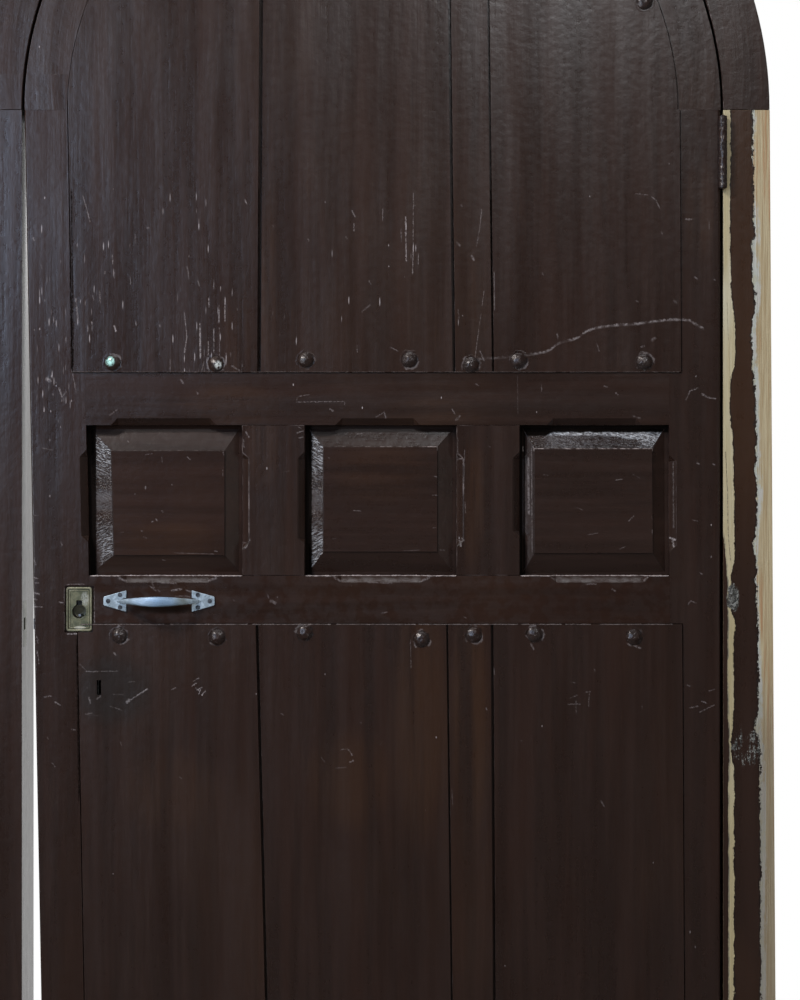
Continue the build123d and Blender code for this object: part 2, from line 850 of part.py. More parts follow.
with BuildPart() as lock_bolt:
    block((bolt_tip, bolt_tip + bolt_head_length), bolt_depths, (bolt_low, bolt_low + bolt_height))
    tail = (bolt_tip + bolt_head_length, case_right - case_wall - bolt_clearance)
    block(tail, (bolt_back - bolt_tail_thickness, bolt_back), (bolt_low, bolt_low + bolt_height))
    talon = (lock_x - talon_width / 2, lock_x + talon_width / 2)
    notch = (bolt_low + bolt_height - talon_depth, bolt_low + bolt_height)
    block(talon, bolt_depths, notch, Mode.SUBTRACT)
write(lock_bolt, "lock_bolt")

lever_back = bolt_back - bolt_tail_thickness - bolt_clearance
lever_front = lever_back - lever_thickness
lever_heel = lever_pivot[0] - lever_heel_length
lever_nose = case_right - case_wall - lever_nose_play
lever_low = lever_pivot[1] - lever_half_width
lever_belly = lock_x - lever_belly_length
with BuildPart() as lock_lever:
    lever_outline = [
        (lever_heel, lever_low),
        (lever_belly - lever_belly_drop, lever_low),
        (lever_belly, lever_low - lever_belly_drop),
        (lever_nose, lever_low - lever_belly_drop),
        (lever_nose, lever_pivot[1]),
        (lever_pivot[0] + lever_heel_length, lever_pivot[1] + lever_half_width),
        (lever_heel, lever_pivot[1] + lever_half_width),
    ]
    slab(lever_outline, lever_front, lever_back)
    rod(*lever_pivot, lever_front, lever_back, lever_pivot_radius + pin_clearance, Mode.SUBTRACT)
write(lock_lever, "lock_lever")

with BuildPart() as lever_pivot_pin:
    rod(*lever_pivot, case_inside[0], case_inside[1], lever_pivot_radius)
write(lever_pivot_pin, "lever_pivot_pin")

lever_stop = (
    lever_belly - lever_belly_drop - 2 * lever_stop_radius,
    lever_low - lever_stop_radius - pin_clearance,
)
with BuildPart() as lever_stop_pin:
    rod(*lever_stop, lever_front, case_inside[1], lever_stop_radius)
write(lever_stop_pin, "lever_stop_pin")

with BuildPart() as key_pin:
    rod(lock_x, lock_height - key_pin_drop, case_inside[1] - key_pin_length, case_inside[1], key_pin_radius)
write(key_pin, "key_pin")


# Forend in the leaf's edge, round the bolt
with BuildPart() as lock_forend:
    slab(between(lock_edge, forend_back, forend_low, forend_high), *forend_depths)
    through = (lock_edge(bolt_middle) - forend_thickness, lock_edge(bolt_middle) + 2 * forend_thickness)
    block(through, bolt_hole_depths, bolt_hole, Mode.SUBTRACT)
    screws(forend_screw_places, to_right, small_screw_size, Mode.SUBTRACT, pin_clearance)
write(lock_forend, "lock_forend")

with BuildPart() as forend_screws:
    screws(forend_screw_places, to_right, small_screw_size)
write(forend_screws, "forend_screws")

# Pull handle, one casting: two plates and the bowed grip
grip_radius = ((grip_span / 2) ** 2 + grip_rise**2) / (2 * grip_rise)
grip_half_angle = degrees(asin(grip_span / 2 / grip_radius))
grip_centre = handle_seat - grip_rise + grip_radius


def grip_plane(angle):
    """Plane across the grip at an angle round its arc from the middle."""
    turn = radians(angle)
    place = (handle_middle + grip_radius * sin(turn), grip_centre - grip_radius * cos(turn), handle_height)
    return Plane(origin=place, x_dir=(0, 0, 1), z_dir=(cos(turn), sin(turn), 0))


with BuildPart() as pull_handle:
    for index in range(grip_sections):
        share = 2 * index / (grip_sections - 1) - 1
        swell = cos(radians(90 * share)) ** grip_swell_power if abs(share) < 1 else 0
        with BuildSketch(grip_plane(share * (grip_half_angle + grip_overrun))):
            Ellipse(
                (grip_end_height + (grip_height - grip_end_height) * swell) / 2,
                (grip_end_thickness + (grip_thickness - grip_end_thickness) * swell) / 2,
            )
    loft()
    for side in (-1, 1):
        tip = handle_middle + side * handle_length / 2
        base = tip - side * handle_plate_length
        with BuildSketch(facing(leaf_front)) as plate:
            Polygon(
                (tip, handle_height - handle_plate_tip / 2),
                (tip, handle_height + handle_plate_tip / 2),
                (base, handle_height + handle_plate_base / 2),
                (base, handle_height - handle_plate_base / 2),
                align=None,
            )
            fillet(plate.vertices().group_by(Axis.X)[0 if side < 0 else -1], handle_corner)
        extrude(plate.sketch, amount=handle_plate_thickness)
    behind = (leaf_front, leaf_front + grip_rise)
    across = (handle_middle - handle_length, handle_middle + handle_length)
    block(across, behind, (handle_height - grip_rise, handle_height + grip_rise), Mode.SUBTRACT)
    screws(handle_screw_places, to_back, handle_screw_size, Mode.SUBTRACT, pin_clearance)
write(pull_handle, "pull_handle")

with BuildPart() as handle_screws:
    screws(handle_screw_places, to_back, handle_screw_size)
write(handle_screws, "handle_screws")


# Butt hinges: knuckles in turn on the frame's plate and the leaf's plate
knuckle_length = hinge_length / knuckle_count


def hinge_half(name, height, plate, first, face, into):
    """One half of a hinge, with every second knuckle from the first."""
    low = height - hinge_length / 2
    x, y = hinge_axis
    with BuildPart() as half:
        block(plate, plate_depths, (low, low + hinge_length))
        for index in range(first, knuckle_count, 2):
            start = low + index * knuckle_length + knuckle_gap / 2
            end = start + knuckle_length - knuckle_gap
            block(plate, (y, plate_depths[0]), (start, end))
            with BuildSketch(Plane.XY.offset(start)) as barrel:
                with Locations((x, y)):
                    Circle(knuckle_radius)
            extrude(barrel.sketch, amount=end - start)
        with BuildSketch(Plane.XY.offset(low)) as bore:
            with Locations((x, y)):
                Circle(hinge_pin_radius + pin_clearance)
        extrude(bore.sketch, amount=hinge_length, mode=Mode.SUBTRACT)
        places = [place for place in hinge_screw_places(face) if abs(place[2] - height) < hinge_length / 2]
        screws(places, into, hinge_screw_size, Mode.SUBTRACT, pin_clearance)
    write(half, name)


def hinge_pin(name, height):
    """Hinge pin with a domed head at its top and a cap at its foot."""
    rise = hinge_length / 2
    with BuildPart() as pin:
        with BuildSketch(Plane.XZ.offset(-hinge_axis[1])):
            with BuildLine():
                Polyline(
                    (hinge_axis[0], height + rise + pin_head_height),
                    (hinge_axis[0], height - rise - pin_head_height),
                    (hinge_axis[0] + pin_head_radius, height - rise - knuckle_gap),
                    (hinge_axis[0] + hinge_pin_radius, height - rise - knuckle_gap),
                    (hinge_axis[0] + hinge_pin_radius, height + rise),
                    (hinge_axis[0] + pin_head_radius, height + rise),
                    (hinge_axis[0], height + rise + pin_head_height),
                )
            make_face()
        revolve(axis=Axis((hinge_axis[0], hinge_axis[1], 0), (0, 0, 1)))
    write(pin, name)


for name, height in zip(("lower_hinge", "upper_hinge"), hinge_heights):
    hinge_half(f"{name}_frame_plate", height, jamb_plate, 0, opening_radius, to_right)
    hinge_half(f"{name}_leaf_plate", height, leaf_plate, 1, leaf_radius, to_left)
    hinge_pin(f"{name}_pin", height)

with BuildPart() as hinge_leaf_screws:
    screws(hinge_screw_places(leaf_radius), to_left, hinge_screw_size)
write(hinge_leaf_screws, "hinge_leaf_screws")

with BuildPart() as hinge_frame_screws:
    screws(hinge_screw_places(opening_radius), to_right, hinge_screw_size)
write(hinge_frame_screws, "hinge_frame_screws")


# Frame: two jambs, an arched head in two halves with a key, and a threshold
def jamb_outer_line(z):
    return opening_radius + frame_face + jamb_splay * (springing_height - z)


def jamb_tenon(side, mode):
    """Tenon at the top of a jamb, or its mortise in the head."""
    middle = side * (opening_radius + frame_face / 2)
    across = (middle - jamb_tenon_width / 2, middle + jamb_tenon_width / 2)
    depths = (-jamb_tenon_thickness / 2, jamb_tenon_thickness / 2)
    rise = (springing_height - cut_margin, springing_height + jamb_tenon_height)
    block(across, depths, rise, mode)


def threshold_body(grow, mode=Mode.ADD):
    """Threshold with its stop behind the leaf, housed into both jambs."""
    half = opening_radius + threshold_housing
    block((-half, half), (frame_front, frame_back), (-grow, threshold_height), mode)
    block((-half, half), (stop_front, frame_back), (-grow, threshold_height + threshold_stop), mode)


def cut_fixing_holes(side):
    """Holes across a jamb for its fixings to the wall."""
    for height in (fixing_height, fixing_height + fixing_spacing):
        plane = Plane(origin=(0, fixing_depth, height), x_dir=(0, 1, 0), z_dir=(side, 0, 0))
        with BuildSketch(plane) as hole:
            Circle(fixing_radius)
        extrude(hole.sketch, amount=opening_width, mode=Mode.SUBTRACT)


strike_face = -opening_radius
strike_low = bolt_middle - strike_length / 2
strike_high = bolt_middle + strike_length / 2
strike_middle_depth = sum(bolt_depths) / 2
strike_depths = (strike_middle_depth - strike_width / 2, strike_middle_depth + strike_width / 2)
strike_plate_x = (strike_face - strike_thickness, strike_face)
strike_window = (bolt_low - strike_play, bolt_low + bolt_height + strike_play)
strike_window_depths = (bolt_depths[0] - strike_play, bolt_depths[1] + strike_play)
strike_screw_places = [
    (strike_face, strike_middle_depth, height)
    for height in (strike_low + forend_margin / 2, strike_high - forend_margin / 2)
]

with BuildPart() as lock_jamb:
    outline = between(
        upright(-opening_radius - frame_face), upright(-opening_radius), 0, springing_height
    )
    slab(outline, frame_front, frame_back)
    jamb_tenon(-1, Mode.ADD)
    threshold_body(cut_margin, Mode.SUBTRACT)
    cut_fixing_holes(-1)
    block(strike_plate_x, strike_depths, (strike_low, strike_high), Mode.SUBTRACT)
    pocket = (strike_face - strike_thickness - strike_pocket_depth, strike_face)
    block(pocket, strike_window_depths, strike_window, Mode.SUBTRACT)
    screws(strike_screw_places, to_left, small_screw_size, Mode.SUBTRACT, pin_clearance)
write(lock_jamb, "lock_jamb")

with BuildPart() as strike_plate:
    block(strike_plate_x, strike_depths, (strike_low, strike_high))
    block(strike_plate_x, strike_window_depths, strike_window, Mode.SUBTRACT)
    screws(strike_screw_places, to_left, small_screw_size, Mode.SUBTRACT, pin_clearance)
write(strike_plate, "strike_plate")

with BuildPart() as strike_screws:
    screws(strike_screw_places, to_left, small_screw_size)
write(strike_screws, "strike_screws")

with BuildPart() as hinge_jamb:
    slab(between(upright(opening_radius), jamb_outer_line, 0, springing_height), frame_front, frame_back)
    stop = (opening_radius - stop_width, opening_radius)
    block(stop, (stop_front, frame_back), (threshold_height + threshold_stop, springing_height))
    jamb_tenon(1, Mode.ADD)
    threshold_body(cut_margin, Mode.SUBTRACT)
    cut_fixing_holes(1)
    cut_hinge_seats(jamb_plate)
    screws(hinge_screw_places(opening_radius), to_right, hinge_screw_size, Mode.SUBTRACT, pin_clearance)
write(hinge_jamb, "hinge_jamb")

with BuildPart() as threshold:
    threshold_body(0)
write(threshold, "threshold")


def crown_key(mode):
    """Key across the joint at the frame's crown."""
    middle = springing_height + opening_radius + frame_face / 2
    rise = (middle - crown_key_height / 2, middle + crown_key_height / 2)
    depths = (-crown_key_thickness / 2, crown_key_thickness / 2)
    block((-crown_key_length / 2, crown_key_length / 2), depths, rise, mode)


for name, side in (("frame_head_left", -1), ("frame_head_right", 1)):
    with BuildPart() as frame_head:
        ring_quarter(opening_radius, opening_radius + frame_face, side, frame_front, frame_back)
        ring_quarter(opening_radius - stop_width, opening_radius, side, stop_front, frame_back)
        jamb_tenon(side, Mode.SUBTRACT)
        crown_key(Mode.SUBTRACT)
    write(frame_head, name)

with BuildPart() as frame_crown_key:
    crown_key(Mode.ADD)
write(frame_crown_key, "frame_crown_key")
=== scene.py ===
"""Looks of the arched wooden door: old brown gloss paint, bare worn wood, brass, iron and aluminium."""
import json
import math
import random

import bpy
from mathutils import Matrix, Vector


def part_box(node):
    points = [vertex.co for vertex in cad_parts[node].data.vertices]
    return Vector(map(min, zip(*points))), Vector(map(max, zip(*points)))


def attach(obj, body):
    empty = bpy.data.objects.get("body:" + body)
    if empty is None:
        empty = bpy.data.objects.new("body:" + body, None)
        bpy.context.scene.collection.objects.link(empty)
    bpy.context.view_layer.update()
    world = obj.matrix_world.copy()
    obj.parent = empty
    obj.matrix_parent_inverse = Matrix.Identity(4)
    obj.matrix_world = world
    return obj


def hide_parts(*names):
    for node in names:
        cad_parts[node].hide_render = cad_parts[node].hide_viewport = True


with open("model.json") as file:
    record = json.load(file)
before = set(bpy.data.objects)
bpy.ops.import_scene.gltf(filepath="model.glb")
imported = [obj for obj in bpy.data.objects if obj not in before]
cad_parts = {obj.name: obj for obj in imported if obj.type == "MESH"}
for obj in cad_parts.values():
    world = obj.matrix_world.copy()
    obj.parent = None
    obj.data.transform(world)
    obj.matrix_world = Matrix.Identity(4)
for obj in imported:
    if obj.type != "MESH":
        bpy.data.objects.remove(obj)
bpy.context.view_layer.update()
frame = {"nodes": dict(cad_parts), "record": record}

nodes = frame["nodes"]

# Places in the photograph, in its 800 by 1000 pixels, are turned to metres on the leaf's face
PIXEL = 0.0014
ARCH_CENTRE_PIXEL = 372.6
LEVEL_PIXEL = 610
LEVEL_HEIGHT = 1.0
PHOTO_MIDDLE = (400, 500)
PHOTO_HEIGHT = 1000
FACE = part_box("lock_stile")[0].y
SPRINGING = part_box("hinge_jamb")[1].z


def photo_x(pixel):
    return (pixel - ARCH_CENTRE_PIXEL) * PIXEL


def photo_z(pixel):
    return LEVEL_HEIGHT + (LEVEL_PIXEL - pixel) * PIXEL


# Colours of the paint, linear
DEEP_BROWN = (0.0150, 0.0074, 0.0052)
RED_BROWN = (0.0205, 0.0096, 0.0066)
WARM_BROWN = (0.037, 0.0160, 0.0068)
GREEN_BLACK = (0.0115, 0.0092, 0.0078)
# Black of the painted shade: in the gaps, under the handle, round the studs and in the panel openings' corners
PAINTED_SHADE = (0.0045, 0.003, 0.0024)
HOLE_SHADE = (0.003, 0.0025, 0.002)
DIM_HOLE_SHADE = (0.008, 0.006, 0.005)
# Colour of scraped paint, also of the painted highlights among the marks and flecks
SCRAPE_AND_HIGHLIGHT = (0.34, 0.30, 0.30)
# Rubbed paint on the arrises, kept where they don't face right: partly wear, partly painted light
RUBBED_AND_LIT = (0.105, 0.082, 0.078)
RIDGE_HIGHLIGHT = (0.30, 0.25, 0.24)
PANEL_ARRIS_HIGHLIGHT = (0.26, 0.22, 0.21)
# Painted highlight on the wrinkled panel bevels
SILVER_HIGHLIGHT = (0.46, 0.465, 0.49)

# Colours of the hinge jamb's bare wood
CREAM_WOOD = (0.335, 0.285, 0.178)
CREAM_GRAIN = (0.30, 0.245, 0.135)
CREAM_PALE = (0.38, 0.345, 0.25)
CREAM_YELLOW = (0.25, 0.20, 0.10)
CREAM_RIM = (0.10, 0.09, 0.07)
WOOD_CRACK = (0.05, 0.038, 0.024)
DARK_GRAIN = (0.10, 0.075, 0.045)
PAINT_EDGE_SHADOW = (0.008, 0.005, 0.004)
OUTER_WOOD = (0.335, 0.275, 0.17)
TAN_WOOD = (0.25, 0.185, 0.098)
RED_KNOT = (0.27, 0.155, 0.075)
DARKER_OUTER_WOOD = (0.11, 0.085, 0.055)
GREY_PRIMER = (0.28, 0.325, 0.31)
PALE_PRIMER = (0.33, 0.32, 0.30)
BROKEN_DARK = (0.018, 0.016, 0.013)
BROKEN_PALE = (0.17, 0.17, 0.155)

# Colours of the metals
BRASS = (0.14, 0.135, 0.082)
BRASS_RIM = (0.21, 0.195, 0.13)
BRASS_GREEN = (0.068, 0.072, 0.042)
BRASS_SPECK = (0.04, 0.04, 0.028)
BRASS_HIGHLIGHT = (0.40, 0.40, 0.36)
BRASS_BAR_HIGHLIGHT = (0.42, 0.40, 0.33)
BRASS_DARK = (0.035, 0.036, 0.022)
ALUMINIUM = (0.33, 0.40, 0.46)
ALUMINIUM_DULL = (0.20, 0.245, 0.28)
ALUMINIUM_SPECK = (0.06, 0.065, 0.06)
GRIP_SKY_REFLECTION = (0.165, 0.255, 0.375)
GRIP_HIGHLIGHT = (0.27, 0.345, 0.43)
GRIP_TARNISH = (0.15, 0.165, 0.135)
GRIP_UNDERSIDE_SHADE = (0.035, 0.042, 0.034)
IRON = (0.022, 0.0155, 0.014)
IRON_SPECK = (0.09, 0.075, 0.07)
IRON_HIGHLIGHT = (0.5, 0.52, 0.5)
TURQUOISE = (0.36, 0.62, 0.56)
STEEL = (0.20, 0.22, 0.25)
STEEL_DULL = (0.12, 0.13, 0.15)
# Pale lock case: painted light, so the inside of the keyhole shows olive
CASE_PAINTED_LIGHT = (0.62, 0.60, 0.45)
CASE_PAINTED_LIGHT_DULL = (0.40, 0.39, 0.28)
SCREW = (0.018, 0.02, 0.026)
SCREW_WORN = (0.07, 0.078, 0.09)

# Marks on the paint, mostly scrapes of lost paint; the strokes along the sills' chamfers and down the rims
# right of
# the panel openings are painted highlights. By the node that they are on, in the photograph's pixels:
# start, end, width and brightness
MARKS = {
    "lock_stile": [
        (47, 379, 50, 381, 5, 0.5), (59, 388, 62, 397, 2.5, 0.4), (62, 397, 66, 392, 2, 0.35),
        (44, 697, 51, 696, 1.6, 0.35), (55, 702, 60, 705, 2.2, 0.4), (59, 602, 65, 603, 1.6, 0.5),
        (35, 583, 39, 583, 1.4, 0.4), (36, 607, 40, 607, 1.4, 0.3), (61, 542, 62, 545, 1.6, 0.3),
        (72, 729, 75, 730, 1.6, 0.3), (47, 737, 48, 739, 1.5, 0.25), (52, 763, 55, 767, 1.3, 0.25),
        (38, 655, 39, 664, 1.3, 0.3), (37, 640, 38, 643, 1.4, 0.35), (41, 265, 42, 268, 1.5, 0.3),
        (33, 238, 34, 240, 2.2, 0.55), (72, 370, 76, 392, 1.2, 0.4), (42, 448, 53, 450, 1.2, 0.25),
        (64.6, 588, 64.2, 604, 1.3, 0.5), (64.4, 612, 64.8, 630, 1.2, 0.4), (67, 584.6, 84, 584, 1.1, 0.4),
        (66.5, 634, 80, 633.8, 1.8, 0.8), (32.4, 577.5, 38, 578.5, 1.6, 0.5), (33, 592.5, 39, 594, 1.8, 0.5),
        (34, 599, 37, 599.6, 1.6, 0.4), (33.6, 606.6, 42, 607, 1.6, 0.5), (36, 636, 38.4, 640, 1.6, 0.5),
        (37, 651, 38, 656, 1.6, 0.4), (34, 560, 36, 565, 1.4, 0.35), (34, 515, 38, 515.6, 1.4, 0.3),
    ],
    "upper_board_1": [
        (83, 196, 87, 209, 1.2, 0.45), (87, 209, 90, 222, 1.4, 0.5), (200, 324, 200.5, 358, 2.2, 0.8),
        (184.5, 313, 187, 337, 1.2, 0.5), (187, 337, 184.5, 353, 1.4, 0.6), (208.7, 298, 209, 307, 1.5, 0.55),
        (208.5, 342, 208, 369, 1.6, 0.5), (213.8, 329, 214, 353, 1.4, 0.55), (219.3, 306, 219, 323, 1.6, 0.6),
        (225, 304, 225, 321, 1.7, 0.6), (219.5, 328, 219.6, 357, 1, 0.35), (214, 281, 213.8, 289, 1.4, 0.5),
        (187.3, 267, 189.2, 279, 1.2, 0.45), (198, 281, 199.5, 286, 1.2, 0.35),
        (130.4, 277, 130.6, 284, 1.3, 0.45), (112.4, 255, 112.9, 264, 1.3, 0.5),
        (114.6, 272, 114.6, 279, 1.2, 0.4), (104.9, 272, 105.2, 274, 1.7, 0.6),
        (114.5, 326, 116, 331, 2, 0.95), (159.8, 325, 160, 327, 1.8, 0.45), (136, 322, 136.2, 325, 1.9, 0.5),
        (91.9, 322, 92.2, 324, 1.9, 0.5), (75.6, 298, 77.4, 310, 1.8, 0.4), (77, 310, 79, 323, 1.8, 0.35),
        (245, 200, 247, 204, 2, 0.4), (147, 228, 149, 228, 1.8, 0.4), (135.3, 234, 135.5, 244, 1.1, 0.3),
        (170.5, 360, 170.3, 370, 1.6, 0.3), (204, 362, 202, 371, 1.2, 0.4), (232, 366, 240, 371, 2.2, 0.25),
        (93, 296, 94, 300, 1.5, 0.3), (100, 291, 100.4, 304, 1.3, 0.35), (189, 257, 189, 256, 1.5, 0.45),
    ],
    "upper_board_2": [
        (352, 211, 355, 217, 2, 0.35), (354, 224, 354, 231, 1.6, 0.35), (382.6, 209, 382.6, 221, 1, 0.35),
        (369, 281, 371, 284, 1.7, 0.4), (362, 312, 370, 305, 2.2, 0.16), (390, 347, 398, 351, 1.4, 0.3),
        (357, 345, 357.4, 353, 1, 0.25), (405.6, 217, 406.3, 261, 1.7, 0.7), (401, 229, 401.5, 242, 1, 0.35),
        (413.3, 193, 413.2, 250, 1.1, 0.4), (413.2, 250, 412.6, 274, 1.4, 0.5),
        (418.4, 254, 418.2, 264, 1.2, 0.5), (346, 237, 347, 239, 1.5, 0.3), (308, 239, 309, 241, 1.3, 0.25),
        (272, 225, 274, 227, 1.3, 0.25),
    ],
    "upper_board_3": [
        (481.6, 210, 480, 226, 1.3, 0.3), (480, 226, 476.5, 246, 1.1, 0.28), (472.2, 256, 473.6, 260, 3, 0.4),
        (461, 205, 462, 206, 2, 0.3), (457, 243, 460, 246, 3, 0.25), (484, 291, 482, 306, 1, 0.3),
        (481, 314, 479, 328, 1, 0.2), (479, 328, 475, 357, 1.1, 0.35), (458, 310, 459, 318, 1.3, 0.25),
        (480, 351, 484, 361, 1.5, 0.35),
    ],
    "upper_board_4": [
        (635, 194, 648, 195, 1.1, 0.3), (652, 197, 656, 201, 1.3, 0.35), (656, 201, 660, 209, 1.6, 0.3),
        (557, 334, 558, 339, 2.6, 0.28), (596.5, 343, 599, 351, 1.8, 0.2), (652, 340, 655, 338, 3.6, 0.3),
        (641, 347, 644, 346, 3, 0.22), (674, 301, 677, 303, 3.4, 0.12), (636, 301, 638, 302, 1.7, 0.25),
        (494, 272, 494.5, 310, 1.1, 0.4), (661, 232, 662, 234, 1.6, 0.3), (542, 273, 543, 275, 1.3, 0.25),
    ],
    "hinge_stile": [
        (686, 219, 691, 219.5, 2.6, 0.45), (709, 222, 709.2, 229, 1.2, 0.35), (695, 277, 697, 279, 2.6, 0.4),
        (714, 279, 715, 280, 1.8, 0.4), (686, 400, 690, 391, 1.4, 0.3), (690, 391, 698, 388, 1.8, 0.35),
        (702, 394, 709, 398, 2.8, 0.35), (709, 398, 716, 398.5, 2, 0.4), (697, 463, 699, 464, 2, 0.35),
        (713, 464, 715, 465, 1.9, 0.4), (688, 604, 691, 601, 1.2, 0.4), (691, 601, 696, 603, 1.4, 0.4),
        (700, 573, 702, 574, 1.6, 0.35), (693, 520, 697, 521, 1.8, 0.25), (709, 691, 715, 689, 1.3, 0.35),
        (702, 701, 706, 703, 1.8, 0.45), (690, 708, 698, 706, 1.4, 0.3), (700, 712, 714, 705, 1.4, 0.3),
        (687, 685, 690, 686, 1.8, 0.25), (673.5, 462, 674, 528, 1.5, 0.22), (671, 538, 675.5, 540, 2.4, 0.8),
        (673, 540, 674, 547, 2.2, 0.7),
    ],
    "upper_mid_rail": [
        (296, 402, 344.5, 401.4, 1, 0.4), (297, 396.6, 310, 394.4, 0.8, 0.3),
        (344.5, 401.4, 345, 405, 0.8, 0.3), (298, 397, 296, 402, 0.8, 0.25), (330, 409, 333, 411, 3, 0.25),
        (384, 412, 386, 418, 2, 0.3), (181, 380, 183, 383, 3, 0.28), (197, 392, 198, 394, 1.5, 0.3),
        (517.4, 376, 517.9, 414, 0.9, 0.14), (616, 393, 618, 395, 2, 0.35), (604, 386, 607, 387, 1.6, 0.28),
        (541.5, 385, 541.6, 391, 1.1, 0.3), (452, 409, 455, 414, 1.6, 0.3), (456, 420, 460, 416, 3, 0.28),
        (476, 384, 479, 386, 1.7, 0.22), (633, 416, 640, 418, 2, 0.2), (110, 415, 118, 409, 1.8, 0.22),
        (376, 417, 383, 413, 1.3, 0.25),
    ],
    # Strokes in rows 577 to 584 lie on the sill chamfers and are painted highlights
    "lower_mid_rail": [
        (94, 588, 94.3, 610, 1.2, 0.4), (94.4, 612, 94.2, 631, 1.4, 0.55), (80, 633.6, 94, 634, 1.8, 0.8),
        (271, 601, 275, 603, 4.5, 0.34), (267, 594, 269, 598, 1.4, 0.25), (382, 613, 387, 612, 2, 0.3),
        (172, 590.5, 181, 589, 3, 0.4), (186, 590, 192, 592, 2.4, 0.35), (150, 586, 156, 591, 2.2, 0.3),
        (176, 596, 190, 596.5, 2.4, 0.2), (119, 578.2, 125, 580.6, 3.6, 0.36),
        (209, 580.6, 216, 578, 3.6, 0.36), (335, 577.6, 340.5, 581, 3.4, 0.34),
        (421.5, 581, 429, 577.6, 3.4, 0.34), (552, 577.4, 556, 580, 3, 0.3),
        (644, 580.6, 647.5, 577.6, 3, 0.3), (160, 582.6, 176, 583.4, 2.2, 0.3),
        (368, 582.4, 392, 583.2, 1.8, 0.25), (612, 589, 615, 591, 2.2, 0.25), (464, 617, 466, 618, 1.6, 0.35),
        (586, 584, 596, 584, 1.6, 0.4), (130, 580.4, 205, 580.4, 5, 0.12), (344, 580.4, 416, 580.4, 5, 0.14),
        (560, 580.4, 640, 580.4, 5, 0.12), (152, 583, 154, 588, 2, 0.2), (233, 599, 234, 601, 1.2, 0.2),
        (158, 590, 160, 592, 2, 0.2),
    ],
    "muntin_left": [
        (246, 432, 249, 437, 2.4, 0.35), (243.5, 440, 244, 447, 1.4, 0.4), (282, 472, 290, 471, 1.2, 0.12),
        (297, 433, 303, 431, 1.6, 0.4), (299, 438, 303, 437, 1.6, 0.4), (250, 539, 245.6, 548, 2, 0.75),
        (298, 427, 301, 428, 1.2, 0.3),
    ],
    "muntin_right": [
        (464.6, 450, 463.6, 500, 1.1, 0.25), (465, 502, 465.5, 513, 1.2, 0.3), (459, 537, 461, 546, 2.2, 0.6),
        (462, 538, 464, 541, 1.6, 0.5), (457.5, 438, 457.8, 460, 1.2, 0.3), (489, 446, 490, 447, 1.3, 0.25),
        (505, 508, 506, 510, 1.2, 0.25),
    ],
    "panel_left": [
        (151.5, 522, 153, 521, 1.8, 0.4), (155.5, 519, 157, 521, 1.6, 0.4),
        (161.6, 511, 162.6, 512, 1.8, 0.35), (141, 531, 143, 531, 1.8, 0.3), (143, 537, 146, 538, 1.5, 0.35),
        (118, 533, 123, 532, 1, 0.25), (187, 457, 190, 459.5, 1.2, 0.4), (161.5, 457, 161.8, 462, 1, 0.25),
        (223, 452, 223.6, 455, 1.4, 0.4), (222.5, 470, 222.6, 476, 1, 0.3), (214, 551, 217, 551.5, 1.2, 0.35),
        (145, 454.5, 152, 453.5, 0.9, 0.3), (127, 441, 128, 442, 1.6, 0.4), (174, 553, 213, 554, 0.9, 0.25),
        (162, 560, 165, 560.5, 1.2, 0.3),
    ],
    "panel_middle": [
        (353.5, 510.5, 360.5, 511, 1.2, 0.4), (328.5, 457.5, 329.5, 458.5, 1.4, 0.35),
        (434, 476, 437, 477, 1.2, 0.35), (432.5, 495, 437, 495.4, 1.1, 0.35),
        (433, 528, 436.5, 527.6, 1, 0.25), (332, 539, 336, 538.6, 1, 0.15), (440, 550, 444.5, 550.4, 1, 0.3),
        (403, 551, 420, 550, 0.9, 0.2), (357, 433.6, 362, 433, 1.4, 0.3),
    ],
    "panel_right": [
        (528.6, 458, 529.2, 514, 3.4, 0.34), (531.8, 448, 532.4, 552, 1.1, 0.3),
        (616, 480, 623, 479, 1.4, 0.3), (544, 474.5, 548, 475, 1.2, 0.2), (629, 521, 634, 516, 1.8, 0.28),
        (652, 517, 653, 520, 1.4, 0.3), (620, 549, 626, 546.5, 1, 0.3), (575, 507, 583, 510, 1, 0.2),
        (588, 535, 598, 533, 1.4, 0.2), (652.6, 530, 652.8, 534, 1.4, 0.3), (633, 474, 640, 478, 1, 0.14),
    ],
    "lower_board_1": [
        (86, 671.4, 118, 671, 1.3, 0.75), (128, 701.5, 138, 695, 1.6, 1), (138, 695, 147.4, 688.8, 2, 1),
        (127.6, 701.8, 129.4, 700.4, 5, 2.4), (129, 682, 135, 681.4, 1.4, 0.5),
        (89, 697, 90.6, 703, 2.4, 0.7), (97, 699, 101, 696, 2.6, 0.55), (113, 694, 124, 694.5, 1.2, 0.35),
        (193, 681, 199, 678, 1.3, 0.6), (192, 686, 197, 682.5, 1.2, 0.5), (197, 690, 202, 687.4, 1.3, 0.7),
        (199, 694, 200.6, 689.6, 1.3, 0.7), (202, 695, 205.6, 690.6, 1.5, 0.8),
        (196, 688, 199, 691, 1.2, 0.5), (171, 690, 176, 687.4, 1.3, 0.4), (113.6, 652, 116, 655, 2.2, 0.45),
        (110, 706, 122, 710, 1.8, 0.4), (86, 714, 92, 713, 2.4, 0.35), (120.6, 742, 121.8, 745, 1.4, 0.2),
        (180, 777, 181.5, 778.5, 1.8, 0.28), (88, 715, 104, 715.6, 1.2, 0.12),
        (76.5, 640, 77.5, 668, 1.4, 0.25), (80, 664, 88, 672, 1, 0.25),
    ],
    "lower_board_2": [
        (341, 749.5, 348, 748.6, 1.1, 0.3), (348, 748.6, 352.4, 755, 1.4, 0.35),
        (350, 762, 353, 760.5, 2.4, 0.35), (321, 757, 325, 762, 1.4, 0.14), (281, 713, 283, 714.6, 1.6, 0.2),
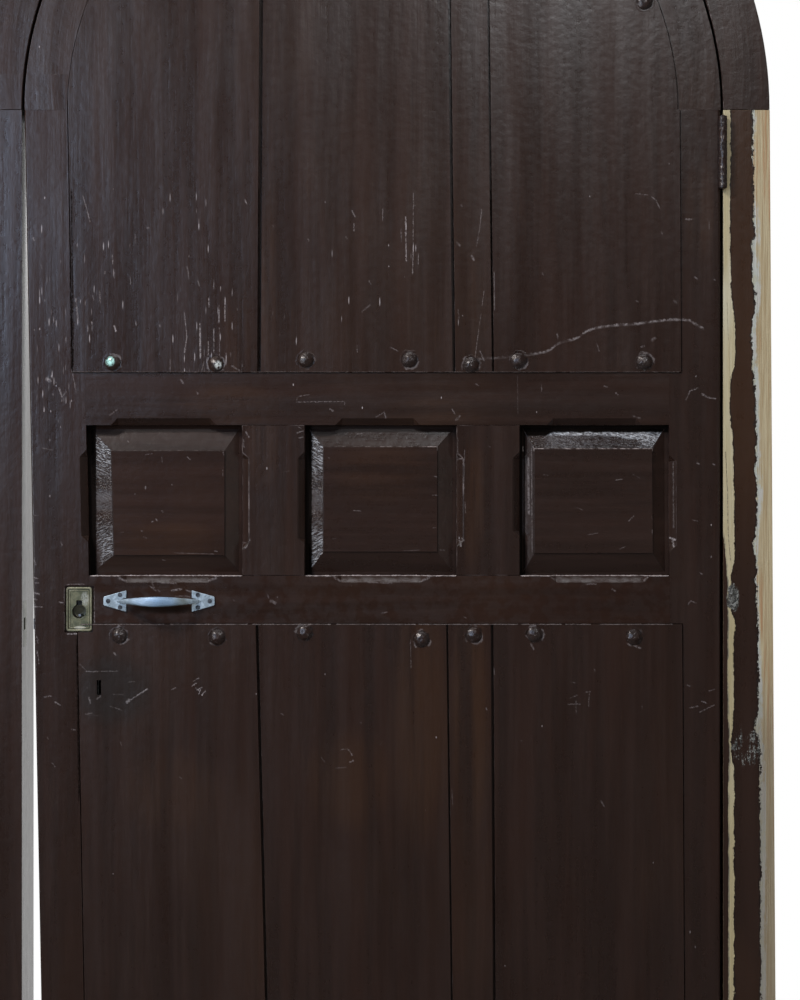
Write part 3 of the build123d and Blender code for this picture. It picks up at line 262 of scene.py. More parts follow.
        (336, 768, 346, 767, 2, 0.12), (410.5, 640, 411, 668, 1, 0.25), (360, 722, 362, 723, 1.2, 0.15),
        (380, 745, 382, 742, 1.2, 0.12),
    ],
    "lower_board_3": [(486, 708, 487.5, 710, 1.6, 0.3), (452, 790, 452.6, 806, 1, 0.15)],
    "lower_board_4": [
        (586, 692, 590, 691.6, 1.8, 0.25), (589, 694, 588.5, 706, 1.4, 0.22), (570, 698, 577, 695, 1.5, 0.16),
        (568, 704, 580, 704, 1.4, 0.2), (576, 700, 576, 714, 1.3, 0.16), (594, 669, 595, 671, 1.5, 0.2),
        (571, 682, 575, 682.6, 1.2, 0.22), (601, 801, 604, 806, 2, 0.2), (641.6, 706, 642, 708, 1.5, 0.2),
        (493.8, 668, 494.4, 674, 1.4, 0.3), (531, 644, 533.5, 649, 2.6, 0.3), (633, 645, 640, 648, 2.6, 0.3),
        (520, 740, 522, 741, 1, 0.14),
    ],
}
# Painted shade in the seams and gaps and round the lock plate's pocket: start, end and width
SEAM_SHADE = {
    "lock_stile": [
        (69.8, 190, 71.6, 368, 3.8), (76.8, 640, 79.2, 800, 3.2), (65.1, 587, 65.1, 631.5, 2.6),
        (66, 586.2, 92, 586.2, 2.2), (66, 632, 80, 632, 2),
    ],
    "lower_mid_rail": [(93.2, 587, 93.2, 631.5, 3), (80, 632, 93, 632, 2)],
    "upper_board_1": [(71.6, 190, 73.4, 366, 2.4), (258.6, 190, 258.6, 366, 1.6)],
    "upper_board_3": [(490.8, 190, 492.4, 366, 2.4)],
}
# Regions where the paint is worn in fine specks: middle, half size and density
SPECKLED = {
    "lock_stile": [(55, 345, 26, 90, 1.6), (60, 398, 22, 34, 1.6)],
    "upper_board_1": [(90, 320, 26, 60, 0.75), (205, 335, 42, 60, 0.8), (150, 300, 90, 90, 0.35)],
    "upper_board_2": [(350, 250, 60, 70, 0.3), (410, 240, 16, 60, 0.4)],
    "upper_board_3": [(472, 300, 16, 90, 0.35)],
    "upper_board_4": [(600, 300, 100, 90, 0.18)],
    "lower_board_1": [(115, 690, 40, 36, 0.7)],
    "hinge_stile": [(702, 400, 18, 40, 0.4), (704, 708, 20, 22, 0.5)],
    "upper_mid_rail": [(300, 400, 200, 30, 0.25)],
    "panel_left": [(170, 500, 70, 60, 0.25)],
}
# Regions with fine upright light flecks, partly lost paint and partly painted glints: middle, half size and
# density
STREAKED = {
    "upper_board_1": [
        (105, 290, 34, 90, 0.9), (205, 325, 50, 60, 1.1), (170, 230, 60, 60, 0.4), (83, 335, 12, 50, 1.6),
        (215, 362, 50, 14, 1.4),
    ],
    "upper_board_2": [(350, 260, 70, 90, 0.12), (410, 240, 16, 50, 0.6), (285, 330, 20, 50, 0.2)],
    "upper_board_3": [(472, 300, 18, 90, 0.4)],
    "lock_stile": [(58, 340, 26, 90, 1.3), (50, 385, 24, 30, 1.8), (44, 250, 16, 70, 0.7)],
}
# Warm streaks where the brown has thinned: middle, half size and strength
WARMED = {
    "upper_board_2": [(270, 290, 14, 120, 0.8)],
    "upper_board_1": [(240, 340, 22, 60, 0.5)],
    "upper_board_3": [(472, 320, 20, 90, 0.4)],
    "lower_board_2": [(420, 720, 36, 150, 0.7), (350, 780, 50, 60, 0.6)],
    "lower_board_3": [(470, 720, 24, 150, 0.9)],
    "muntin_right": [(470, 500, 18, 80, 0.8)],
    "muntin_left": [(262, 450, 20, 50, 0.6)],
    "upper_mid_rail": [(230, 405, 60, 26, 0.6), (430, 415, 60, 20, 0.7)],
    "lower_mid_rail": [(180, 595, 60, 16, 0.5)],
    "panel_left": [(170, 540, 60, 22, 0.6)],
    "panel_middle": [(380, 470, 60, 40, 0.4)],
    "hinge_stile": [(700, 210, 20, 60, 0.5)],
    "lower_board_1": [(170, 790, 60, 50, 0.4)],
}

# Single spots, in the photograph's pixels: middle and half size
SPOTS = {
    "handle_shade": (163, 608.5, 42, 6.5),
    "old_lock": (112, 690, 48, 44),
    "old_keyhole": (99.3, 687.5, 7, 20),
    "jamb_knot": (733, 598, 8.5, 19),
    "jamb_damage": (747, 746, 25, 27),
    "turquoise_stud": (110.6, 361.5, 5.6, 5.8),
    "highlighted_stud": (218.5, 365, 4.5, 5),
    "plate_highlight": (85, 599, 5, 9),
    "plate_bar_highlight": (80, 627.6, 7, 2.2),
    "grip_reflection": (158, 602, 30, 14),
    "grip_highlight": (143, 600, 16, 8),
}

# The scratch that wanders over two boards and the stile: its places, and the rows and columns it lies in
LONG_SCRATCH = [(462, 363), (482, 359), (500, 358), (520, 356), (545, 352), (560, 343), (575, 339), (590, 330),
                (610, 326), (635, 324), (660, 321), (686, 320), (695, 324), (704, 329)]
SCRATCHED = ("upper_board_3", "upper_board_4", "hinge_stile")
SCRATCH_ROWS = (370, 312)
SCRATCH_BRIGHTENS = (470, 600)

# Panels: painted shadow in each opening's corner (left edge, top edge and reach in pixels), painted shadow
# along its top, how dull the field is, and the painted silver highlight's threshold, least and most
PANEL_EDGES = {"panel_left": (88.2, 425, 6.6), "panel_middle": (305, 425, 6.4), "panel_right": (520, 425, 5.6)}
TOP_SHADOW = {"panel_left": 0.5, "panel_middle": 0.6, "panel_right": 1.0}
FIELD_DULLED = {"panel_left": 0.22, "panel_middle": 0.06, "panel_right": 0.0}
SILVERING = {"panel_left": (0.46, 0.08, 0.78), "panel_middle": (0.46, 0.08, 0.78),
             "panel_right": (0.42, 0.16, 0.95)}
# The right panel's painted silver highlight lies on its top bevel, in these columns and rows, and falls towards
# its end
SILVER_STARTS = (540, 552)
SILVER_SHINES = (560, 612)
SILVER_FALLS = (600, 655)
SILVER_ENDS = (630, 652)
SILVER_ROWS = (436.2, 433.6)
# The painted light line along the top of the panels' fields: its row, and the columns over which it brightens
FIELD_TOP_ROW = 448.5
FIELD_LINE_BRIGHTENS = (250, 530)

# Hinge jamb: edges of its paint, as row and column, and where its looks change
CREAM_LEFT = [(190, 722), (282, 722), (300, 721), (520, 721.5), (545, 724.6), (570, 726.6), (590, 727.4),
              (690, 727.4), (715, 727.8), (745, 729), (782, 728.2), (810, 728.2)]
CREAM_RIGHT = [(190, 730.4), (282, 731), (300, 732), (330, 735), (362, 735.2), (378, 731.5), (408, 730),
               (440, 732.8), (470, 734), (520, 734.4), (560, 734), (570, 732), (584, 730.6), (612, 732),
               (620, 734.4), (645, 733.4), (720, 733.2), (738, 731.4), (752, 731), (770, 734), (810, 734)]
OUTER_LEFT = [(190, 753), (232, 754), (250, 752), (268, 752), (300, 755), (330, 751.5), (356, 752.5),
              (372, 754), (410, 755.4), (455, 757), (470, 755), (482, 757), (530, 756.2), (550, 754),
              (558, 756.4), (572, 756.4), (579, 753.8), (584, 756.2), (645, 757.8), (712, 758), (727, 756),
              (740, 759), (770, 760.4), (810, 760.6)]
EDGE_ROWS = (830, 170)
EDGE_COLUMNS = (715, 765)
JAMB_WARMS = (640, 440)
CREAM_YELLOWS = (590, 625)
OUTER_DARKENS = (640, 760)
JAMB_CRACKS = [(725.5, 452, 727.5, 490, 1.1, 1.5), (727.5, 490, 728, 530, 1.1, 1.5),
               (728, 530, 730.5, 560, 1.2, 1.5), (727, 300, 728.5, 340, 1.0, 0.7)]

# Columns over which the lock plate darkens to the left and the grip tarnishes to the right
PLATE_DARKENS = (70, 66)
GRIP_TARNISHES = (172, 188)

# Each opening's sill in the photograph's pixels: its ends and, between them, its chamfer's two stops
SILLS = [(90, 119.4, 125.8, 208.5, 214.9, 242), (305.5, 335, 341.4, 420.8, 427.2, 456),
         (520.5, 550, 556.4, 642.6, 649, 668.5)]

# Sizes in metres
PAINT_RELIEF = 0.0011
FRONT_FADES = (FACE + 0.016, FACE + 0.012)
MARK_JITTER = 3.6 * PIXEL
STUD_RING_RADIUS = 0.0122
FRAMING_ARRIS = 0.0011
BOARD_ARRIS = 0.0014
PANEL_ARRIS = 0.0007
JAMB_ARRIS = 0.0012
PLATE_ARRIS = 0.0004
CHAMFER = 0.0095


class Value:
    """A number that a material works out. Arithmetic on it adds math nodes."""

    def __init__(self, nodes, socket):
        self.nodes = nodes
        self.socket = socket

    def __add__(self, other):
        return self.nodes.math("ADD", self, other)

    def __sub__(self, other):
        return self.nodes.math("SUBTRACT", self, other)

    def __rsub__(self, other):
        return self.nodes.math("SUBTRACT", other, self)

    def __mul__(self, other):
        return self.nodes.math("MULTIPLY", self, other)

    def __truediv__(self, other):
        return self.nodes.math("DIVIDE", self, other)

    def __abs__(self):
        return self.nodes.math("ABSOLUTE", self)

    __radd__ = __add__

    def below(self, limit):
        return self.nodes.math("LESS_THAN", self, limit)

    def above(self, limit):
        return self.nodes.math("GREATER_THAN", self, limit)

    def stronger(self, other):
        """The larger of two values."""
        return self.nodes.math("MAXIMUM", self, other)

    def ramp(self, low, high, start=0.0, end=1.0, kind="SMOOTHSTEP"):
        """Smooth step from start to end as the value goes from low to high."""
        inputs = {"Value": self, "From Min": low, "From Max": high, "To Min": start, "To Max": end}
        node = self.nodes.add("ShaderNodeMapRange", inputs, interpolation_type=kind)
        return Value(self.nodes, node.outputs[0])


class Nodes:
    """A node tree, whose nodes are added and linked by short calls."""

    def __init__(self, tree):
        self.tree = tree

    def add(self, kind, inputs=None, **settings):
        node = self.tree.nodes.new(kind)
        for name, value in settings.items():
            setattr(node, name, value)
        for key, value in (inputs or {}).items():
            self.feed(node.inputs[key], value)
        return node

    def feed(self, socket, value):
        if isinstance(value, Value):
            value = value.socket
        if isinstance(value, bpy.types.NodeSocket):
            self.tree.links.new(value, socket)
        elif socket.type == "RGBA" and len(value) == 3:
            socket.default_value = (*value, 1)
        else:
            socket.default_value = value

    def math(self, operation, *values):
        node = self.add("ShaderNodeMath", dict(enumerate(values)), operation=operation)
        return Value(self, node.outputs[0])

    def vector(self, operation, *values):
        """Vector worked out from others."""
        return self.add("ShaderNodeVectorMath", dict(enumerate(values)), operation=operation).outputs[0]

    def measure(self, operation, *values):
        """Number worked out from vectors."""
        node = self.add("ShaderNodeVectorMath", dict(enumerate(values)), operation=operation)
        return Value(self, node.outputs["Value"])

    def split(self, vector):
        return [Value(self, output) for output in self.add("ShaderNodeSeparateXYZ", {0: vector}).outputs]

    def rays(self):
        """Masks of the rays that light follows, by their names."""
        path = self.add("ShaderNodeLightPath")
        return {name: Value(self, path.outputs[f"Is {name} Ray"])
                for name in ("Camera", "Transmission", "Glossy", "Diffuse")}


class Shader(Nodes):
    """A material."""

    def __init__(self, name):
        self.material = bpy.data.materials.new(name)
        self.material.use_nodes = True
        super().__init__(self.material.node_tree)
        self.surface = self.tree.nodes["Principled BSDF"]
        coordinates = self.add("ShaderNodeTexCoord")
        self.place = coordinates.outputs["Object"]
        self.x, self.y, self.z = self.split(self.place)
        self.facing_x, self.facing_y, self.facing_z = self.split(coordinates.outputs["Normal"])

    def join(self, x, y, z):
        return self.add("ShaderNodeCombineXYZ", {0: x, 1: y, 2: z}).outputs[0]

    def scaled(self, factors, shift=(0, 0, 0)):
        """The place, stretched along each axis and shifted."""
        inputs = {"Vector": self.place, "Scale": factors, "Location": shift}
        return self.add("ShaderNodeMapping", inputs).outputs[0]

    def noise(self, place, scale, detail=3.0, roughness=0.5, distortion=0.0, output=0):
        inputs = {"Vector": place, "Scale": scale, "Detail": detail, "Roughness": roughness,
                  "Distortion": distortion}
        return Value(self, self.add("ShaderNodeTexNoise", inputs).outputs[output])

    def cells(self, place, scale):
        """Random cells: the distance from a cell's middle, then three numbers of the cell's own."""
        cells = self.add("ShaderNodeTexVoronoi", {"Vector": place, "Scale": scale})
        colors = self.add("ShaderNodeSeparateColor", {0: cells.outputs["Color"]})
        return [Value(self, output) for output in (cells.outputs["Distance"], *colors.outputs)]

    def mix(self, share, first, second):
        node = self.add("ShaderNodeMix", data_type="RGBA")
        for index, value in ((0, share), (6, first), (7, second)):
            self.feed(node.inputs[index], value)
        return node.outputs[2]

    def radius(self, across, up):
        return self.math("SQRT", across * across + up * up)

    def spot(self, x, y, half_x, half_y):
        """Soft oval round a place in the photograph."""
        across = (self.x - photo_x(x)) / (half_x * PIXEL)
        up = (self.z - photo_z(y)) / (half_y * PIXEL)
        return (across * across + up * up).ramp(1.0, 0.1)

    def columns(self, first, last, start=0.0, end=1.0):
        return self.x.ramp(photo_x(first), photo_x(last), start, end)

    def rows(self, first, last, start=0.0, end=1.0):
        return self.z.ramp(photo_z(first), photo_z(last), start, end)

    def front(self):
        """Mask of the front, because the photograph's marks don't go through to the back."""
        return self.y.ramp(*FRONT_FADES)

    def curve(self, value, low, high, points, floor, ceiling):
        """Smooth line through points over a range: pairs of place and height."""
        share = self.add("ShaderNodeMapRange", {"Value": value, "From Min": low, "From Max": high}).outputs[0]
        node = self.add("ShaderNodeFloatCurve", {"Value": share})
        line = node.mapping.curves[0]
        span = ceiling - floor
        scaled = sorted(((place - low) / (high - low), (height - floor) / span) for place, height in points)
        while len(line.points) < len(scaled):
            line.points.new(0.5, 0.5)
        for point, (place, height) in zip(line.points, scaled):
            point.location = (place, height)
        node.mapping.update()
        return Value(self, node.outputs[0]) * span + floor

    def finish(self, color, roughness, height, depth, metallic=0.0, specular=0.4, flat=False):
        inputs = {"Base Color": color, "Roughness": roughness, "Metallic": metallic,
                  "Specular IOR Level": specular}
        for name, value in inputs.items():
            self.feed(self.surface.inputs[name], value)
        bump = self.add("ShaderNodeBump", {"Height": height, "Distance": depth, "Strength": 1.0})
        if flat:
            self.feed(bump.inputs["Normal"], self.add("ShaderNodeNewGeometry").outputs["True Normal"])
        self.feed(self.surface.inputs["Normal"], bump.outputs[0])
        return self.material


def strokes(shader, marks, wander=1.0):
    """Mask of straight strokes with round ends, each of its own brightness, with uneven broken edges."""
    full, gone, level = 0.124 * PIXEL, 0.434 * PIXEL, 0.62
    jitter = shader.noise(shader.place, 520.0, 4.0, 0.7, output="Color")
    centred = shader.vector("SUBTRACT", jitter, (0.5, 0.5, 0.5))
    moved = shader.vector("MULTIPLY_ADD", centred, (MARK_JITTER * wander,) * 3, shader.place)
    flat = shader.vector("MULTIPLY", moved, (1, 0, 1))
    total = 0.0
    for x1, y1, x2, y2, width, brightness in marks:
        start = Vector((photo_x(x1), 0, photo_z(y1)))
        line = Vector((photo_x(x2 + 0.01), 0, photo_z(y2 + 0.01))) - start
        offset = shader.vector("SUBTRACT", flat, start)
        share = shader.measure("DOT_PRODUCT", offset, line / line.length_squared)
        share = shader.add("ShaderNodeClamp", {"Value": share}).outputs[0]
        nearest = shader.add("ShaderNodeVectorMath", {0: line, "Scale": share}, operation="SCALE").outputs[0]
        distance = shader.measure("LENGTH", shader.vector("SUBTRACT", offset, nearest))
        mask = distance.ramp(gone * width, full * width, 0.0, brightness * level, "LINEAR")
        total = mask.stronger(total)
    return total * shader.noise(shader.place, 330.0, 4.0, 0.65).ramp(0.36, 0.56, 0.1, 1.15)


def grain_place(shader, grain, seed):
    """Coordinates stretched along the grain: Z, X, or round the arch."""
    along = 0.05
    shift = (seed * 1.7, seed * 0.9, seed * 2.3)
    if grain == "Z":
        return shader.scaled((1, 1, along), shift)
    if grain == "X":
        return shader.scaled((along, 1, 1), shift)
    up = shader.z - SPRINGING
    turned = shader.math("ARCTAN2", up, shader.x) * (along / 2) + shift[0]
    return shader.join(turned, shader.y, shader.radius(shader.x, up))


def paint_layers(shader, node, grain, seed, warm=0.2):
    """Colour, roughness and height of the old brown gloss paint."""
    along = grain_place(shader, grain, seed)
    streaks = shader.noise(along, 42.0, 5.0, 0.62)
    fine = shader.noise(along, 190.0, 4.0, 0.6)
    blotches = shader.noise(shader.scaled((1, 1, 0.45), (seed, 0, seed)), 4.2, 3.0, 0.55)
    ripple = shader.noise(shader.place, 95.0, 3.0, 0.5)
    color = shader.mix(streaks.ramp(0.36, 0.66), DEEP_BROWN, RED_BROWN)
    color = shader.mix(blotches.ramp(0.5, 0.72) * warm, color, WARM_BROWN)
    color = shader.mix(fine.ramp(0.6, 0.8) * 0.25, color, WARM_BROWN)
    for *oval, strength in WARMED.get(node, []):
        spot = shader.spot(*oval) * (0.6 * strength) * streaks.ramp(0.3, 0.62)
        color = shader.mix(spot, color, WARM_BROWN)
    roughness = streaks * 0.14 + ripple * 0.10 + fine * 0.08 + blotches * 0.1 + 0.09
    height = streaks * 0.34 + fine * 0.16 + ripple * 0.30 + blotches * 1.2
    return color, roughness, height


def broken_gloss(shader, node, grain, seed):
    """Specular level of paint that has dulled in streaks along the grain."""
    streaks = shader.noise(grain_place(shader, grain, seed + 3), 34.0, 4.0, 0.6)
    patches = shader.noise(shader.scaled((1, 1, 0.4), (seed, seed, 0)), 14.0, 3.0, 0.5)
    level = (streaks * 0.7 + patches * 0.3).ramp(0.36, 0.62, 0.26, 0.5)
    if node == "lower_mid_rail":
        worn = shader.noise(shader.place, 70.0, 4.0).ramp(0.38, 0.6, -0.65, 0.1)
        level = level * (worn * shader.front() + 1.0)
    return level


def add_specks(shader, node, color):
    """Small chips of lost paint, denser where the node is worn."""
    density = 0.045
    for *oval, weight in SPECKLED.get(node, []):
        density = shader.spot(*oval) * (0.62 * weight) + density
    distance, pick, size, light = shader.cells(shader.scaled((1, 1, 0.45)), 135.0)
    specks = pick.below(density * 0.42) * distance.below(size * 0.12 + 0.05) * shader.front()
    color = shader.mix(specks * (light * 0.5 + 0.12), color, SCRAPE_AND_HIGHLIGHT)
    if node in STREAKED:
        color = add_flecks(shader, node, color)
    return color


def add_flecks(shader, node, color):
    """Fine upright light flecks where the grain has lifted the paint: partly lost paint, partly painted glints.
    """
    density = sum(shader.spot(*oval) * (0.3 * weight) for *oval, weight in STREAKED[node])
    distance, pick, _, light = shader.cells(shader.scaled((1, 1, 0.13)), 300.0)
    flecks = pick.below(density) * distance.ramp(0.3, 0.12) * shader.front()
    return shader.mix(flecks * (light * 0.55 + 0.1), color, SCRAPE_AND_HIGHLIGHT)


def paint_shade_over(shader, share, color, gloss):
    """Painted black shade over the paint, which takes its shine too."""
    return shader.mix(share, color, PAINTED_SHADE), gloss * (1.0 - share)


def long_scratch(shader, color):
    """The scratch that wanders from the narrow board to the stile."""
    points = [(photo_x(x), photo_z(y)) for x, y in LONG_SCRATCH]
    first, last = points[0][0], points[-1][0]
    line = shader.curve(shader.x, first, last, points, *(photo_z(row) for row in SCRATCH_ROWS))
    line = shader.noise(shader.place, 300.0, 3.0, 0.6) * 0.006 + (line - 0.003)
    mask = abs(shader.z - line).ramp(0.0026, 0.0004) * shader.x.above(first) * shader.x.below(last)
    broken = shader.noise(shader.place, 150.0, 4.0, 0.65).ramp(0.4, 0.62, 0.1, 1.0)
    mask = mask * shader.front() * broken * shader.columns(*SCRATCH_BRIGHTENS, 0.16, 0.36)
    return shader.mix(mask, color, SCRAPE_AND_HIGHLIGHT)


def stud_ring(shader, place, color, height):
    """Paint that has broken and built up round a stud, with painted shade where it meets the stud."""
    distance = shader.radius(shader.x - place[0], shader.z - place[1])
    distance = shader.noise(shader.place, 140.0, 3.0) * 0.009 + (distance - 0.0045)
    ring = abs(distance - STUD_RING_RADIUS).ramp(0.0022, 0.0006) * shader.front()
    broken = shader.noise(shader.place, 60.0, 2.0).ramp(0.52, 0.64)
    # Painted shade where the paint meets the stud
    contact_shade = distance.ramp(0.0126, 0.0108) * shader.front()
    color = shader.mix(contact_shade * 0.7, color, PAINTED_SHADE)
    color = shader.mix(ring * broken * 0.2, color, SCRAPE_AND_HIGHLIGHT)
    return color, ring * 0.12 + height


def old_lock_dirt_and_shade(shader, color, roughness):
    """Greenish dirt where the earlier lock sat, with painted black shade inside its keyhole."""
    dirt = shader.spot(*SPOTS["old_lock"]) * shader.front()
    color = shader.mix(dirt * 0.65, color, GREEN_BLACK)
    # Painted black shade on the keyhole's inner walls
    hole = shader.spot(*SPOTS["old_keyhole"]) * shader.y.ramp(FACE - 0.0012, FACE) * shader.front()
    return shader.mix(hole.ramp(0.1, 0.4), color, HOLE_SHADE), hole * 0.5 + roughness


def paint(node, grain, seed, rings=()):
    """Finished paint of a leaf or frame piece, with its own marks."""
    shader = Shader(f"paint_{node}")
    color, roughness, height = paint_layers(shader, node, grain, seed)
    color = add_specks(shader, node, color)
    if node in MARKS:
        color = shader.mix(strokes(shader, MARKS[node]) * shader.front(), color, SCRAPE_AND_HIGHLIGHT)
    gloss = broken_gloss(shader, node, grain, seed)
    # Painted shade along the seams and gaps, which takes the paint's shine too
    if node in SEAM_SHADE:
        dark = strokes(shader, [(*seam, 1.6) for seam in SEAM_SHADE[node]], 0.25)
        color, gloss = paint_shade_over(shader, dark * shader.front(), color, gloss)
    for place in rings:
        color, height = stud_ring(shader, place, color, height)
    if node in SCRATCHED:
        color = long_scratch(shader, color)
    # Painted shadow under the pull handle
    if node == "lower_mid_rail":
        shade = shader.spot(*SPOTS["handle_shade"]) * 0.85 * shader.front()
        color, gloss = paint_shade_over(shader, shade, color, gloss)
    if node == "lower_board_1":
        color, roughness = old_lock_dirt_and_shade(shader, color, roughness)
    return shader.finish(color, roughness, height, PAINT_RELIEF, specular=gloss)


def add_bevel(piece, width, segments, worn):
    """Eased arrises. The mesh's doubled corners are joined and its flat faces made whole first."""
    piece.modifiers.new("join", "WELD").merge_threshold = 0.00002
    whole = piece.modifiers.new("whole", "DECIMATE")
    whole.decimate_type = "DISSOLVE"
    whole.angle_limit = math.radians(0.5)
    bevel = piece.modifiers.new("ease", "BEVEL")
    bevel.width = width
    bevel.segments = segments
    bevel.limit_method = "ANGLE"
    bevel.angle_limit = math.radians(32)
    bevel.miter_outer = "MITER_ARC"
    if worn:
        bevel.material = 1
    normals = piece.modifiers.new("normals", "WEIGHTED_NORMAL")
    normals.keep_sharp = True
    normals.weight = 80


def dress(node, material, bevel=0.0, segments=2, arris=None):
    """Gives a CAD node its material, and its arrises their width and a material of their own."""
    piece = nodes[node]
    piece.data.materials.clear()
    piece.data.materials.append(material)
    if arris:
        piece.data.materials.append(arris)
    if bevel:
        add_bevel(piece, bevel, segments, arris is not None)


def arris_material(name, worn, paint, low, high):
    """Paint along an arris, rubbed through in patches; the lighter colour is kept off arrises facing right, so
    it is partly wear and partly painted light.
    """
    shader = Shader(name)
    patches = shader.noise(shader.place, 38.0, 4.0, 0.65)
    color = shader.mix(patches.ramp(low, high) * shader.facing_x.ramp(0.25, 0.0), paint, worn)
    return shader.finish(color, 0.5, patches, 0.0006, specular=0.18, flat=True)


def stud_places():
    """Middle of each stud, in X and Z, found from the heads in the CAD node."""
    head_depth, apart = 0.0003, 0.008
    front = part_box("board_studs")[0].y
    places = []
    for vertex in nodes["board_studs"].data.vertices:
        if vertex.co.y < front + head_depth:
            place = (round(vertex.co.x, 3), round(vertex.co.z, 3))
            if all(math.dist(place, other) > apart for other in places):
                places.append(place)
    return places


def rings_on(node, studs):
    low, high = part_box(node)
    return [(x, z) for x, z in studs if low.x < x < high.x and low.z < z < high.z]


# Leaf and frame woodwork. The two middle rails keep their sharp arrises
GRAIN = {"Z": ["lock_stile", "hinge_stile", "muntin_left", "muntin_right", "lock_jamb"],
         "X": ["upper_mid_rail", "lower_mid_rail", "bottom_rail", "threshold"],
         "ROUND": ["head_rail_left", "head_rail_right", "frame_head_left", "frame_head_right"]}
SHARP = ("lower_mid_rail", "upper_mid_rail")
# Arris colours, lighter only where the arris doesn't face right: partly wear, partly painted light
worn_lit_arris = arris_material("worn_lit_arris", RUBBED_AND_LIT, DEEP_BROWN, 0.42, 0.72)
bare_lit_arris = arris_material("bare_lit_arris", CREAM_WOOD, TAN_WOOD, 0.3, 0.6)
studs = stud_places()
random.seed(11)
for grain, members in GRAIN.items():
    for member in members:
        width = 0 if member in SHARP else FRAMING_ARRIS
        dress(member, paint(member, grain, random.uniform(1, 9)), width, 1, worn_lit_arris)
for row in ("upper", "lower"):
    for place in (1, 2, 3, 4):
        board = f"{row}_board_{place}"
        material = paint(board, "Z", random.uniform(1, 9), rings_on(board, studs))
        dress(board, material, BOARD_ARRIS, 1, worn_lit_arris)


def panel_painted_shadow(shader, node):
    """Painted black shadow in the corner under the opening's left and top edges."""
    left, top, reach = PANEL_EDGES[node]
    wobble = shader.noise(shader.place, 90.0, 3.0) * 0.003 - 0.0015
    across = shader.x - photo_x(left) + wobble
    down = photo_z(top) - shader.z + wobble
    side = across.ramp((reach + 1) * PIXEL, (reach - 0.6) * PIXEL)
    corner = across.ramp(24 * PIXEL, 36 * PIXEL, 3.6 * PIXEL, 0.0)
    above = (down - corner).ramp(8 * PIXEL, 6.2 * PIXEL)
    return side.stronger(above * TOP_SHADOW[node])


def crackle(shader, node):
    """Wrinkled gloss: how much of it shines, how much carries the painted silver highlight, and its ridges."""
    if node == "panel_right":
        side = shader.facing_z.ramp(0.16, 0.24)
        lines = shader.join(shader.x * 150.0, 0.0, shader.z * 520.0 + shader.x * 110.0)
        shine = shader.columns(*SILVER_SHINES, 0.3, 1.0)
        level = shader.z + shader.columns(*SILVER_FALLS, 0.0, 6 * PIXEL)
        painted_silver = level.ramp(*(photo_z(row) for row in SILVER_ROWS), 0.12, 1.0) * shader.columns(*SILVER_STARTS)
        painted_silver = painted_silver.stronger(shader.columns(*SILVER_ENDS) * 0.62)
    else:
        low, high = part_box(node)
        away = abs(shader.z - (low.z + high.z) / 2)
        side = shader.facing_x.ramp(-0.2, -0.28)
        lines = shader.join(shader.x * 120.0, 0.0, away * 500.0 + shader.x * 190.0)
        shine = away.ramp(0.008, 0.036, 0.1, 1.0)
        painted_silver = away.ramp(0.016, 0.06, 0.0, 0.75)
    wrinkle = shader.noise(lines, 1.0, 3.0, 0.6, 0.9)
    return side * shine, side * painted_silver, wrinkle


def panel_material(node, seed):
    """Panel paint, wrinkled on one bevel with a painted silver highlight on its ridges, and painted shadow in
    the corners.
    """
    shader = Shader(f"paint_{node}")
    color, roughness, height = paint_layers(shader, node, "X", seed, 0.12)
    color = add_specks(shader, node, color)
    color = shader.mix(strokes(shader, MARKS[node], 0.6) * shader.front(), color, SCRAPE_AND_HIGHLIGHT)
    shine, painted_silver, wrinkle = crackle(shader, node)
    low, least, most = SILVERING[node]
    crest_highlight = painted_silver * wrinkle.ramp(low, low + 0.16, least, 1.0)
    color = shader.mix(crest_highlight * most, color, SILVER_HIGHLIGHT)
    # Painted shadow in the corner under the opening's left and top edges
    painted_shadow = panel_painted_shadow(shader, node)
    color = shader.mix(painted_shadow, color, PAINTED_SHADE)
    roughness = (shine * -0.08 + roughness).stronger(painted_shadow * 0.7)
    field = shader.facing_y.ramp(-0.98, -0.995, 0.0, FIELD_DULLED[node])
    gloss = (painted_shadow * -0.38 - field + 0.4).stronger(0.02)
    return shader.finish(color, roughness, wrinkle * shine * 5.0 + height, PAINT_RELIEF, specular=gloss)


def panel_arris_material():
    """Arris of the raised field, with a dotted painted highlight along its top only."""
    shader = Shader("panel_arris")
    dots = shader.noise(shader.place, 120.0, 3.0, 0.7)
    top = abs(shader.z - photo_z(FIELD_TOP_ROW)).ramp(3.2 * PIXEL, 2 * PIXEL)
    share = dots.ramp(0.4, 0.66) * top * shader.columns(*FIELD_LINE_BRIGHTENS, 0.12, 0.9)
    return shader.finish(shader.mix(share, DEEP_BROWN, PANEL_ARRIS_HIGHLIGHT), 0.5, dots, 0.0004, specular=0.25)


panel_arris = panel_arris_material()
for number, panel in enumerate(PANEL_EDGES):
    dress(panel, panel_material(panel, 2.0 + 1.7 * number), PANEL_ARRIS, arris=panel_arris)


